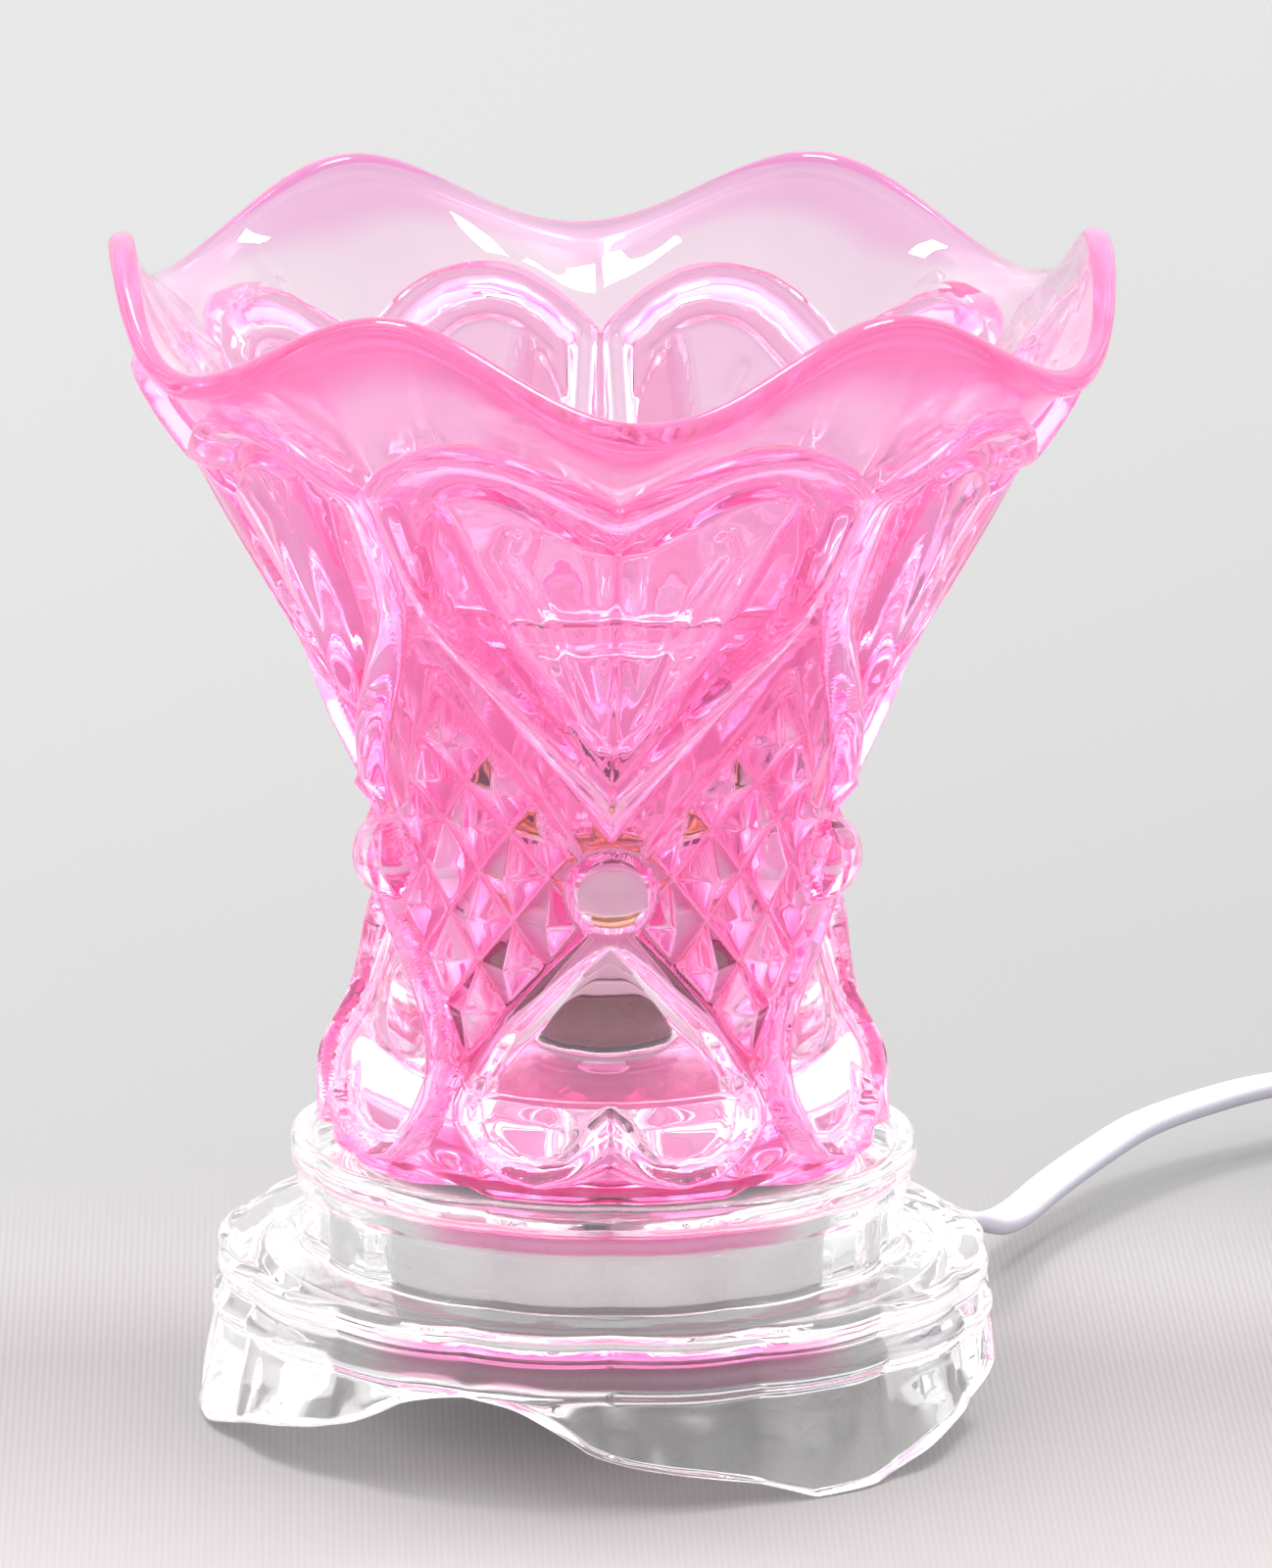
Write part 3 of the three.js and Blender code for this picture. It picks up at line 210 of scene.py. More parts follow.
def blended(tree, share, first, second):
    """A colour from the first to the second."""
    return node(tree, "Mix", {0: share, 6: first, 7: second}, data_type="RGBA").outputs[2]


def ranged(tree, value, low, high, top=1.0, **settings):
    """0 to top as the value goes from low to high."""
    inputs = {"Value": value, "From Min": low, "From Max": high, "To Max": top}
    return node(tree, "MapRange", inputs, **settings).outputs[0]


def mark(tree, name):
    return node(tree, "Attribute", attribute_name=name).outputs["Fac"]


def noise(tree, scale, detail=3.0, roughness=0.5, stretch=None):
    place = node(tree, "TexCoord").outputs["Object"]
    if stretch:
        place = node(tree, "Mapping", {"Vector": place, "Scale": stretch}).outputs["Vector"]
    inputs = {"Vector": place, "Scale": scale, "Detail": detail, "Roughness": roughness}
    return node(tree, "TexNoise", inputs).outputs["Fac"]


def ramp(tree, value, stops):
    made = node(tree, "ValToRGB", {"Fac": value})
    elements = made.color_ramp.elements
    while len(elements) < len(stops):
        elements.new(0.5)
    for element, (place, color) in zip(elements, stops):
        element.position = place
        element.color = (*color, 1)
    return made.outputs["Color"]


def grey(value):
    return (value, value, value)


def bumped(tree, shader, height, strength, distance):
    made = node(tree, "Bump", {"Height": height, "Strength": strength, "Distance": distance})
    tree.links.new(made.outputs["Normal"], shader.inputs["Normal"])


def coloured_by_marks(tree, shader, stops):
    """Pink where the skin's pink mark is deep, lilac and satin where those marks say so. On the shade the
    pink mark is a real stain; on the base it is a painted reflection of the shade's pink.
    """
    patch = maths(tree, "MULTIPLY", noise(tree, 42.0, 2.0), PATCHINESS)
    amount = maths(tree, "ADD", mark(tree, "stain_and_reflection"), patch)
    amount = maths(tree, "SUBTRACT", amount, PATCHINESS / 2)
    color = blended(tree, mark(tree, "lilac"), ramp(tree, amount, stops), (*LILAC, 1))
    tree.links.new(color, shader.inputs["Base Color"])
    rough = maths(tree, "MULTIPLY", mark(tree, "satin"), SATIN_ROUGHNESS)
    tree.links.new(rough, shader.inputs["Roughness"])


def glass(name, color, ior=1.5, wave=0.25, stain_and_reflection=None, clear=1.0, painted_glow=None):
    """Its last argument gives the colour and strength of a painted glow: emission that brightens the glass,
    which is no lamp.
    """
    mat, tree, shader = material(name)
    if painted_glow:
        shader.inputs["Emission Color"].default_value = (*painted_glow[:3], 1)
        shader.inputs["Emission Strength"].default_value = painted_glow[3]
    shader.inputs["Transmission Weight"].default_value = clear
    shader.inputs["IOR"].default_value = ior
    shader.inputs["Base Color"].default_value = (*color, 1)
    shader.inputs["Roughness"].default_value = 0.0
    if stain_and_reflection:
        coloured_by_marks(tree, shader, stain_and_reflection)
    bumped(tree, shader, noise(tree, 130.0, 2.0), wave, 0.0004)
    return mat


def plastic(name, color, roughness, grain=900.0, depth=0.15, variation=0.04):
    mat, tree, shader = material(name)
    low, high = [tuple(min(1, c * (1 + s * variation)) for c in color) for s in (-1, 1)]
    tree.links.new(ramp(tree, noise(tree, 60.0, 4.0), [(0.3, low), (0.7, high)]), shader.inputs["Base Color"])
    rough = [(0.25, grey(max(0, roughness - 0.06))), (0.75, grey(min(1, roughness + 0.08)))]
    tree.links.new(ramp(tree, noise(tree, 240.0, 3.0), rough), shader.inputs["Roughness"])
    bumped(tree, shader, noise(tree, grain, 2.0), depth, 0.0002)
    return mat


def metal(name, color, roughness, depth=0.1):
    mat, tree, shader = material(name)
    shader.inputs["Metallic"].default_value = 1.0
    low, high = [tuple(min(1, c * s) for c in color) for s in (0.86, 1.08)]
    tree.links.new(ramp(tree, noise(tree, 90.0, 5.0), [(0.3, low), (0.7, high)]), shader.inputs["Base Color"])
    lines = noise(tree, 400.0, 4.0, 0.6, stretch=(1, 1, 12))
    rough = [(0.3, grey(roughness * 0.75)), (0.7, grey(roughness * 1.3))]
    tree.links.new(ramp(tree, lines, rough), shader.inputs["Roughness"])
    bumped(tree, shader, lines, depth, 0.00015)
    return mat


PATCHINESS = 0.16  # how far the depth of the pink mark wanders, stain on the shade and painted reflection on the base
SATIN_ROUGHNESS = 0.24
LILAC = (0.97, 0.42, 0.86)
PINK_STAIN = [
    (0.0, (0.99, 0.99, 0.985)), (0.22, (1.0, 0.79, 0.92)), (0.48, (1.0, 0.45, 0.78)),
    (0.75, (1.0, 0.23, 0.58)), (1.0, (1.0, 0.1, 0.36)),
]
CLEAR = (0.975, 0.985, 0.978)
# The clear base's colours, from clear to a painted reflection of the shade's pink.
BASE_REFLECTED_PINK = [(0.1, CLEAR), (1.0, (1.0, 0.12, 0.42))]
# The pink glass gets a faint painted glow, an emission that stands in for light.
pink_glass = glass("pink_glass", (1, 0.5, 0.8), stain_and_reflection=PINK_STAIN, clear=0.97, painted_glow=(1, 0.24, 0.55, 0.045))
inner_glass = glass("inner_glass", grey(0.985), wave=0.12)
# The clear glass gets a fainter painted glow, an emission that stands in for light.
clear_glass = glass("clear_glass", CLEAR, ior=1.52, wave=0.3, stain_and_reflection=BASE_REFLECTED_PINK, painted_glow=(1, 0.99, 1, 0.018))
dish_glass = glass("dish_glass", grey(0.985), ior=1.2, wave=0.15)
bulb_glass = glass("bulb_glass", (0.985, 0.985, 0.98), ior=1.48, wave=0.1)
silicone = plastic("silicone", (0.84, 0.83, 0.83), 0.45, depth=0.05)
white_metal = plastic("white_metal", (0.86, 0.86, 0.87), 0.28, grain=500.0, depth=0.08)
black_rubber = plastic("black_rubber", (0.025, 0.025, 0.027), 0.7, grain=1500.0)
phenolic = plastic("phenolic", (0.13, 0.03, 0.022), 0.25, grain=700.0, depth=0.1, variation=0.25)
porcelain = plastic("porcelain", (0.82, 0.79, 0.77), 0.12, grain=400.0, depth=0.05, variation=0.03)
black_glass = plastic("black_glass", (0.012, 0.012, 0.015), 0.12, depth=0.03)
white_flex = plastic("white_flex", (0.5, 0.485, 0.56), 0.38, grain=700.0, depth=0.06, variation=0.02)
white_plastic = plastic("white_plastic", (0.5, 0.5, 0.495), 0.3, grain=1400.0, depth=0.2, variation=0.02)
zinc = metal("zinc_steel", (0.85, 0.86, 0.88), 0.3, depth=0.03)
brass = metal("brass", (0.82, 0.6, 0.28), 0.22)
tungsten = metal("tungsten", (0.07, 0.06, 0.065), 0.35)
board_green = plastic("board", (0.03, 0.14, 0.07), 0.35, grain=300.0, variation=0.2)


# Camera
def place_camera():
    focal_px, frame_px, sensor = 13718.0, 1600.0, 36.0
    yaw, pitch, roll = np.radians([1.58, 13.51, 0.53])
    forward = Vector((math.sin(yaw) * math.cos(pitch), math.cos(yaw) * math.cos(pitch), -math.sin(pitch)))
    right = Vector((math.cos(yaw), -math.sin(yaw), 0))
    up = right.cross(forward)
    right, up = right * math.cos(roll) + up * math.sin(roll), up * math.cos(roll) - right * math.sin(roll)
    data = bpy.data.cameras.new("camera")
    data.sensor_width = sensor
    data.sensor_fit = "AUTO"
    data.lens = focal_px / frame_px * sensor
    data.clip_start, data.clip_end = 0.05, 50
    camera = bpy.data.objects.new("camera", data)
    bpy.context.scene.collection.objects.link(camera)
    turned_to = Matrix((right, up, -forward)).transposed().to_4x4()
    camera.matrix_world = Matrix.Translation(Vector((-45.2, -1786.0, 516.8)) * MM) @ turned_to
    bpy.context.scene.camera = camera


place_camera()


# Cord
CORD_WIDTH, CORD_THICKNESS = 5.2, 2.7
EXIT_AZIMUTH, EXIT_HEIGHT = 133, 12.8
BUSHING_OUTER = 67
SEAT_GAP = 0.3
COIL = dict(x=141, y=18, radius=34.5, pitch=3.3, layer_rise=5.8, turns=6.5, lift=0.9)
COIL_LOW = COIL["lift"] + CORD_WIDTH / 2
COIL_HIGH = COIL_LOW + COIL["layer_rise"]
DIMMER = dict(x=163, y=106, turn=6, length=58, width=27, lower=8.4, upper=8.6, corner=7.5, screws=(-22, 22))
PLUG = dict(x=122, y=76, length=28, width=24, height=15, tail=12)


def outward(distance, z=EXIT_HEIGHT):
    x, y = bearing(EXIT_AZIMUTH)
    return [x * distance, y * distance, z]


def dimmer_end(way, beyond=0.0):
    """Where the cord meets the dimmer's end, or a little beyond it."""
    turn = math.radians(DIMMER["turn"])
    reach = way * (DIMMER["length"] / 2 + SEAT_GAP + beyond)
    return DIMMER["x"] - math.sin(turn) * reach, DIMMER["y"] - math.cos(turn) * reach


def spline(points, step=1.6):
    """Centripetal Catmull-Rom curve through the points, as in the solids."""
    p = np.array(points, float)
    p = np.vstack([2 * p[0] - p[1], p, 2 * p[-1] - p[-2]])
    out = []
    for i in range(1, len(p) - 2):
        q = p[i - 1 : i + 3]
        t = np.cumsum([0, *(np.maximum(np.linalg.norm(np.diff(q, axis=0), axis=1), 1e-6) ** 0.5)])
        count = max(2, int(np.linalg.norm(q[2] - q[1]) / step))
        for s in np.linspace(t[1], t[2], count, endpoint=False):
            a = [((t[k + 1] - s) * q[k] + (s - t[k]) * q[k + 1]) / (t[k + 1] - t[k]) for k in range(3)]
            b = [((t[k + 2] - s) * a[k] + (s - t[k]) * a[k + 1]) / (t[k + 2] - t[k]) for k in range(2)]
            out.append(((t[2] - s) * b[0] + (s - t[1]) * b[1]) / (t[2] - t[1]))
    out.append(p[-2])
    return np.array(out)


def coil_points():
    turns = np.arange(0, COIL["turns"] + 1e-6, 1 / 36)
    middle = COIL["turns"] / 2
    radius = COIL["radius"] - COIL["pitch"] * (middle - np.abs(turns - middle))
    height = mix(COIL_LOW, COIL_HIGH, np.clip((turns - middle) * 2 + 0.5, 0, 1))
    angle = -2 * np.pi * turns
    return np.stack([COIL["x"] + radius * np.cos(angle), COIL["y"] + radius * np.sin(angle), height], 1)


def twin_section():
    """Outline of a twin flex: two round cores side by side with a groove each side."""
    angle = circle(22, 0.5)
    core = CORD_THICKNESS / 2
    across = (CORD_WIDTH / 2 - core) * np.clip(np.cos(angle) * 2.2, -1, 1) + core * np.cos(angle)
    thick = core * np.sign(np.sin(angle)) * np.abs(np.sin(angle)) ** 0.7
    grooved = thick * (1 - 0.26 * ridge(across, 0.62))
    return np.stack([across / np.abs(across).max() * CORD_WIDTH / 2, grooved], 1)


def cord_mesh(path, tilts):
    """A twin flex along the path. tilts gives [share of the length, degrees from upright]."""
    steps = np.linalg.norm(np.diff(path, axis=0), axis=1)
    share = np.concatenate([[0], np.cumsum(steps)]) / steps.sum()
    forward = directions(path)
    side = unit(np.cross(forward, [0, 0, 1]))
    up = np.cross(side, forward)
    tilt = np.radians(along(tilts, share))[:, None]
    wide = up * np.cos(tilt) + side * np.sin(tilt)
    thin = np.cross(forward, wide)
    section = twin_section()
    rings = path[:, None] + section[None, :, :1] * wide[:, None] + section[None, :, 1:] * thin[:, None]
    return rings.reshape(-1, 3), tube_faces(len(path), len(section)), steps.sum()


LEAD_TILTS = [[0, 90], [0.2, 108], [0.4, 100], [0.6, 88], [0.72, 35], [0.85, 15], [0.93, 60], [1, 90]]
ROUGH_LENGTH = 1400  # of the cord from the dimmer to the plug, to place its tilts


def build_cords():
    level = DIMMER["lower"] + SEAT_GAP / 2
    half_plug = PLUG["height"] / 2
    coil_seam = COIL["y"] + CORD_WIDTH + SEAT_GAP
    first = spline([
        outward(BUSHING_OUTER + SEAT_GAP), outward(BUSHING_OUTER + 4, EXIT_HEIGHT - 0.2), [57.2, 61.8, 8.4],
        [61.4, 74.5, 6.5], [66.8, 87.3, 7], [74, 101.2, 8], [81.7, 113.9, 9], [91.9, 125.5, 9.5],
        [101.9, 134.2, 9.7], [113, 142.4, 8.8], [126, 149.6, 5.4], [139, 153.6, 3.2], [151, 153.2, 3.2],
        [160.5, 148.4, 5.2], [*dimmer_end(-1, 6), level - 0.4], [*dimmer_end(-1), level],
    ])
    vertices, faces, length = cord_mesh(first, LEAD_TILTS)
    lead = new_object("cord_to_dimmer", vertices, faces, white_flex, replaced=["cord_run_1"])
    second = spline([
        [*dimmer_end(1), level], [*dimmer_end(1, 6), level - 0.6], [163.5, 58, 5.4], [170.5, 44, 3.8],
        [175, 32, COIL_LOW], [COIL["x"] + COIL["radius"], coil_seam, COIL_LOW],
    ])
    third = spline([
        [COIL["x"] - COIL["radius"], coil_seam, COIL_HIGH], [107.4, 33, 9], [110, 46, 8.2],
        [116, 58, 7.6], [120.8, 68, half_plug], [PLUG["x"], PLUG["y"] - SEAT_GAP, half_plug],
    ])
    path = np.vstack([second, coil_points(), third])
    at_coil = np.linalg.norm(np.diff(second, axis=0), axis=1).sum() / ROUGH_LENGTH
    tilts = [[0, 90], [0.6 * at_coil, 30], [0.9 * at_coil, 0], [0.93, 0], [0.97, 60], [1, 90]]
    vertices, faces, spare = cord_mesh(path, tilts)
    replaced = ["cord_run_2", "cord_coil", "cord_run_3"]
    coil = new_object("cord_to_plug", vertices, faces, white_flex, replaced=replaced)
    return lead, first, length, coil, path, spare


lead_cord, lead_path, lead_length, coil_cord, coil_path, coil_length = build_cords()
print(f"cord lengths {lead_length:.0f} and {coil_length:.0f} mm")


# Glass shade
# Its profile is [height, radius]. Places on its pattern are [degrees from a heart's middle, height].
HALF_HEART = 36.0
SHADE_PROFILE = [
    (39.6, 35.5), (45, 37), (49, 36.8), (56, 33.2), (62, 31.2), (68, 30.4), (79, 30.3), (86, 31.2),
    (92, 33.2), (100, 36.4), (109, 40), (118, 45), (127, 50.2), (135, 54.8), (142, 59), (147, 61.8),
]
SHADE_WALL = 5.4
HEART_SIDE = [
    (0, 87.3), (2.9, 89.8), (10, 95.6), (18.6, 102.9), (27.1, 110.7), (31.6, 115.4), (34, 119.5), (35.2, 125),
    (35.7, 131), (36, 138.3),
]
HEART_TOP = [
    (0, 139.5), (4.4, 142.0), (8.8, 144.7), (13.2, 146.7), (17.6, 147.6), (22.2, 147.6), (27, 146.1),
    (31.3, 143.4), (34.6, 140.1), (36, 138.3),
]
V_RECESS = [
    (9.3, 99.4), (15.8, 105.6), (22.4, 111.6), (29.2, 117.2), (31.8, 123.2), (31, 129.4), (28.6, 134.5),
    (25.6, 137.6), (24.4, 134.7), (22.8, 129.3), (20.6, 123), (18.2, 116.6), (14.9, 112.4), (11.3, 108.1),
    (9.4, 104.8), (8.8, 101.6),
]
PETAL_RIDGE = [
    (4.6, 100), (5.9, 105.3), (7.3, 108.6), (8.9, 113.9), (10.6, 120), (13.4, 126), (16, 131), (14.5, 134),
]
DIAMOND_BORDER = [(0, 78), (7, 83), (10.5, 85.8), (20.3, 94.3), (30.8, 103.5), (36, 110)]
LOWER_OUTLINE = [
    (-4, 77.5), (0, 79), (7, 75.2), (16.8, 69), (26.2, 63.4), (31, 58.5), (34, 54.6), (35.3, 51), (34, 48),
    (31, 45.4), (28, 43.2), (22.8, 40.9), (15.1, 39.9), (6.4, 41.3), (0, 42.8), (-4, 42),
]
LOWER_BAND = [
    (-4, 70), (0, 72), (7, 68.8), (16.9, 63.1), (23.9, 58.6), (27.8, 54.1), (28.6, 50.8), (28.2, 48.8),
    (25.6, 45.7), (21.1, 42.9), (15.3, 41.8), (9.4, 42.9), (5.3, 45.7), (3.2, 48), (0, 49.9), (-4, 47),
]
RIM = dict(peak=162.8, trough=150.6, peak_radius=66.2, trough_radius=68.6, ruffles=6, turn=2.5, thickness=3.6)
BEAD = dict(height=79.7, radius=6.1)
FOOT_RING = 37.7  # the shade's foot reaches down round the gasket
FLOOR = dict(top=47, under=39.6, recess=32.8)
BORE = 5.3  # radius of the holes for the threaded tube
FOOT_ROWS = 7  # the pink rows under the floor, which build_shade adds last


def outside(z):
    return along(SHADE_PROFILE, z)


def inside(z):
    return np.maximum(outside(z) - SHADE_WALL, 0) - np.where(z < 62, (outside(z) - outside(62)) * 0.9, 0)


def heart_top(away):
    return 139.5 + 8.7 * np.sin(np.pi * (away / HALF_HEART) ** 1.12) - 1.2 * away / HALF_HEART


class Surface:
    """Points on the outside of the shade, and distances over it in millimetres."""

    def __init__(self, away, z):
        self.away, self.z = away, z
        self.round = np.radians(1) * outside(z)
        self.rise = np.sqrt(1 + (outside(z + 0.5) - outside(z - 0.5)) ** 2)
        self.x = np.abs(away) * self.round

    def to_line(self, points):
        best = np.full(self.z.shape, 1e9)
        for (a0, z0), (a1, z1) in zip(points[:-1], points[1:]):
            px, pz = (self.away - a0) * self.round, (self.z - z0) * self.rise
            lx, lz = (a1 - a0) * self.round, (z1 - z0) * self.rise
            share = np.clip((px * lx + pz * lz) / (lx * lx + lz * lz + 1e-9), 0, 1)
            best = np.minimum(best, np.hypot(px - share * lx, pz - share * lz))
        return best

    def to_shape(self, points):
        """Distance inside a closed outline, negative outside it."""
        closed = [*points, points[0]]
        within = np.zeros(self.z.shape, bool)
        for (a0, z0), (a1, z1) in zip(closed[:-1], closed[1:]):
            at = a0 + (self.z - z0) / ((z1 - z0) or 1e-9) * (a1 - a0)
            within ^= ((z0 > self.z) != (z1 > self.z)) & (self.away < at)
        return np.where(within, 1, -1) * self.to_line(closed)


def upper_heart(s):
    """Relief and stain of the rolled edge, the groove inside it, the petals and the deep V."""
    to_side, to_top = s.to_line(HEART_SIDE), s.to_line(HEART_TOP)
    edge = np.minimum(to_side, to_top)
    recess = s.to_shape(V_RECESS)
    at_top = smooth(1.5, -1.5, to_top - to_side)
    roll_width, groove_width = mix(4.4, 5.4, at_top), 1.8
    on_roll = edge < roll_width
    petal = np.minimum(edge - roll_width - groove_width, -recess)
    fold = 0.6 * ridge(s.to_line(PETAL_RIDGE), 1.1) * smooth(0, 1.5, petal)
    valley = 1.9 * np.exp(-np.abs(s.x / 2.8) ** 1.4) * smooth(0, 2, petal)
    facet = 0.48 * smooth(1.2, 0, np.abs(s.z - (131 + 1.25 * s.away))) * smooth(6.5, 5.0, s.away)
    relief = -0.4 + 2.5 * smooth(0, 2.6, petal) + fold - valley - facet
    relief = np.where(recess > 0, -0.4 - 1.1 * smooth(0, 1.4, recess), relief)
    relief = np.where(on_roll, mix(2.6, 4.0, at_top) * bump(edge / roll_width, 2.4), relief)
    roll_stain = 0.5 + 0.2 * at_top + 0.25 * smooth(0.55, 1, np.abs(2 * edge / roll_width - 1))
    stain_and_reflection = np.where(on_roll, roll_stain, 0.5)
    stain_and_reflection = np.where(~on_roll & (edge < roll_width + groove_width), 0.82, stain_and_reflection)
    stain_and_reflection = np.where(recess > 0, 0.95, stain_and_reflection)
    petal_stain = 0.62 + 0.25 * smooth(2.0, 0, petal) + 0.2 * smooth(2.0, 0, s.x)
    return relief, np.where((petal > 0) & (recess < 0), petal_stain, stain_and_reflection)


def lower_heart(s):
    """Relief and stain of the rounded band of the upside-down heart and its clear window."""
    outer, inner = s.to_shape(LOWER_OUTLINE), s.to_shape(LOWER_BAND)
    width = outer + np.maximum(-inner, 0)
    across = outer / (width + 1e-6)
    band = 3.0 * bump(across, 2.2) * (0.45 + 0.55 * smooth(0.4, 3.0, width))
    band_stain = 0.92 - 0.3 * smooth(0.05, 0.3, across) - 0.4 * smooth(0.5, 0.75, across)
    relief = np.where(inner < 0, band, -0.7 * smooth(0, 1.6, inner))
    return relief, np.where(inner < 0, band_stain, 0.12)


def diamond_field(s):
    """Relief and stain of the cut diamonds between the hearts and of their border."""
    below = (np.interp(s.away, *np.array(DIAMOND_BORDER).T) - s.z) * s.rise * 0.8
    p, q = (HALF_HEART - s.away) / 10.2, (s.z - 81.4) / 6.4
    slants = [(p + way * q) / 2 for way in (1, -1)]
    pyramid = np.minimum(*[np.abs(slant - np.round(slant)) * 2 for slant in slants])
    lattice = -0.5 + 3.2 * np.minimum(pyramid * 1.04, 1) * smooth(0.2, 1.6, below)
    relief = np.where(below > 0, lattice, -0.4) + 0.9 * ridge(s.to_line(DIAMOND_BORDER), 0.7)
    stain_and_reflection = np.where(below > 0, 0.95 - 0.4 * smooth(0.1, 0.75, pyramid), 0.92)
    return np.where(s.z < 52, -0.5, relief), stain_and_reflection


def shade_relief(away, z):
    """Height of the moulded pattern over the plain surface, and how deep the pink is."""
    s = Surface(away, z)
    in_upper = z > np.interp(away, *np.array(HEART_SIDE).T)
    in_lower = s.to_shape(LOWER_OUTLINE) > 0
    relief, stain_and_reflection = [
        np.where(in_upper, upper, np.where(in_lower, lower, field))
        for upper, lower, field in zip(upper_heart(s), lower_heart(s), diamond_field(s))
    ]
    # A bead covers the place where the hearts meet.
    reach, radius = np.hypot(s.x, (z - BEAD["height"]) * s.rise), BEAD["radius"]
    dome = np.sqrt(np.maximum(radius**2 - reach**2, 0)) - 0.2
    relief = np.where(reach < radius, np.maximum(relief, dome), relief)
    return relief, np.where(reach < radius + 0.5, 0.18 + 0.55 * smooth(0.5, 1, reach / radius), stain_and_reflection)


def bend(start, corner, end, t):
    """A point on the curve that rounds a corner."""
    return (1 - t) ** 2 * start + 2 * t * (1 - t) * corner + t * t * end


def rim_offset(azimuth, away, t, side, ahead=0.0):
    """Radius and height of a row on the rim, t of the way up, on one side of its middle."""
    wave = 0.5 - 0.5 * np.cos(np.radians(RIM["ruffles"] * (azimuth - RIM["turn"])))
    start_z = heart_top(away) + 0.8
    start_r = outside(start_z) - SHADE_WALL / 2
    end_z = mix(RIM["trough"], RIM["peak"], wave)
    end_r = mix(RIM["trough_radius"], RIM["peak_radius"], wave)
    bend_z = mix(start_z, end_z, 0.6)
    bend_r = start_r + 0.6 * (bend_z - start_z) + 1
    fr = 2 * (1 - t) * (bend_r - start_r) + 2 * t * (end_r - bend_r)
    fz = 2 * (1 - t) * (bend_z - start_z) + 2 * t * (end_z - bend_z)
    size = np.hypot(fr, fz)
    fr, fz = fr / size, fz / size
    half = mix(SHADE_WALL, RIM["thickness"], min(1, 1.4 * t)) / 2
    r = bend(start_r, bend_r, end_r, t) + fz * half * side + fr * half * ahead
    return r, bend(start_z, bend_z, end_z, t) - fr * half * side + fz * half * ahead


def around(azimuth, r, z):
    x, y = bearing(azimuth)
    return np.stack([x[:, None] * r, y[:, None] * r, z], -1)


def build_shade():
    per_half = 48
    columns = per_half * 10
    azimuth = np.arange(columns) * 360 / columns
    away = np.abs((azimuth + HALF_HEART) % (2 * HALF_HEART) - HALF_HEART)
    half_away = np.arange(per_half + 1) * HALF_HEART / per_half
    pick = np.rint(away / HALF_HEART * per_half).astype(int)
    share = np.linspace(0, 1, 236)
    z = mix(FOOT_RING + 0.8, heart_top(half_away)[:, None], share[None, :])
    relief, stain_and_reflection = shade_relief(np.repeat(half_away[:, None], len(share), 1), z)
    scallop = mix(1.8, -1.6, smooth(24, HALF_HEART, half_away)) - 0.8 * smooth(8, 0, half_away)
    r = outside(z) + relief * smooth(0, 0.012, share) + scallop[:, None] * smooth(6.5, 0.5, z - FOOT_RING)
    none = np.zeros((columns, len(share)))
    blocks = [(r[pick], z[pick], stain_and_reflection[pick], none, none)]

    def add(r_row, z_row, stain_row, satin=0.0, lilac=0.0):
        values = (r_row, z_row, stain_row, satin, lilac)
        blocks.append([np.broadcast_to(np.asarray(v, float), columns)[:, None] for v in values])

    def rows_so_far():
        return sum(block[0].shape[1] for block in blocks)

    # The rim's outside and edge are satin, and more lilac at the back.
    deep = mix(0.94, 0.84, 0.5 + 0.5 * np.cos(np.radians(6 * azimuth)))
    at_back = 0.7 * smooth(0.2, -0.3, np.cos(np.radians(azimuth)))
    for t in np.linspace(0.02, 1, 34):
        r_row, z_row = rim_offset(azimuth, away, t, 1)
        edge_line = 0.12 * np.cos(t * 60) * smooth(0.75, 1, t)
        depth = mix(0.34, deep, smooth(0.4, 0.85, t))
        add(r_row + edge_line, z_row, depth, smooth(0.05, 0.35, t), smooth(0.4, 0.9, t) * at_back)
    for turn in np.radians(np.linspace(78, -78, 11)):
        add(*rim_offset(azimuth, away, 1, math.sin(turn), 0.85 * math.cos(turn)), deep, 0.5, at_back)
    inner_start = rows_so_far()
    for t in np.linspace(1, 0, 18):
        add(*rim_offset(azimuth, away, t, -1), 0)
    for height in np.linspace(132, 53, 34):
        add(inside(height), height, 0)
    # The floor and the foot are pink again. The hole between them is clear.
    floor_start, wall_foot, hollow = rows_so_far(), inside(52.0), 2.4
    top, under, recess = FLOOR["top"], FLOOR["under"], FLOOR["recess"]
    for angle in np.linspace(0.1, 1, 7) * math.pi / 2:
        add(wall_foot - hollow * (1 - math.cos(angle)), mix(top + hollow, top, math.sin(angle)), 0.7)
    for radius in (19, 14):
        add(radius, top, 0.6)
    floor_end = rows_so_far()
    for radius, height in [(BORE + 0.7, top), (BORE, top - 0.6), (BORE, under + 0.6)]:
        add(radius, height, 0)
    for radius in (BORE + 0.7, 20, recess - 0.2):
        add(radius, under, 0.9)
    for height in (under - 0.2, FOOT_RING + 0.2):
        add(recess, height, 0.9)
    foot = outside(FOOT_RING) + scallop[pick]
    add(foot - 1.2, FOOT_RING, 0.8)
    add(foot - 0.4, FOOT_RING + 0.25, 0.8)
    r, z, stain_and_reflection, satin, lilac = [np.concatenate(parts, 1) for parts in zip(*blocks)]
    mesh = grid_mesh("glass_shade_skin", around(azimuth, r, z))
    for name, values in (("stain_and_reflection", stain_and_reflection), ("satin", satin), ("lilac", lilac)):
        marked(mesh, name, values)
    finish_object("glass_shade_skin", mesh, [pink_glass, inner_glass], BODY, ["glass_shade"])
    look = np.zeros(r.shape, np.int32)
    look[:, inner_start:floor_start] = 1
    look[:, floor_end:-FOOT_ROWS] = 1
    mesh.polygons.foreach_set("material_index", look.ravel())


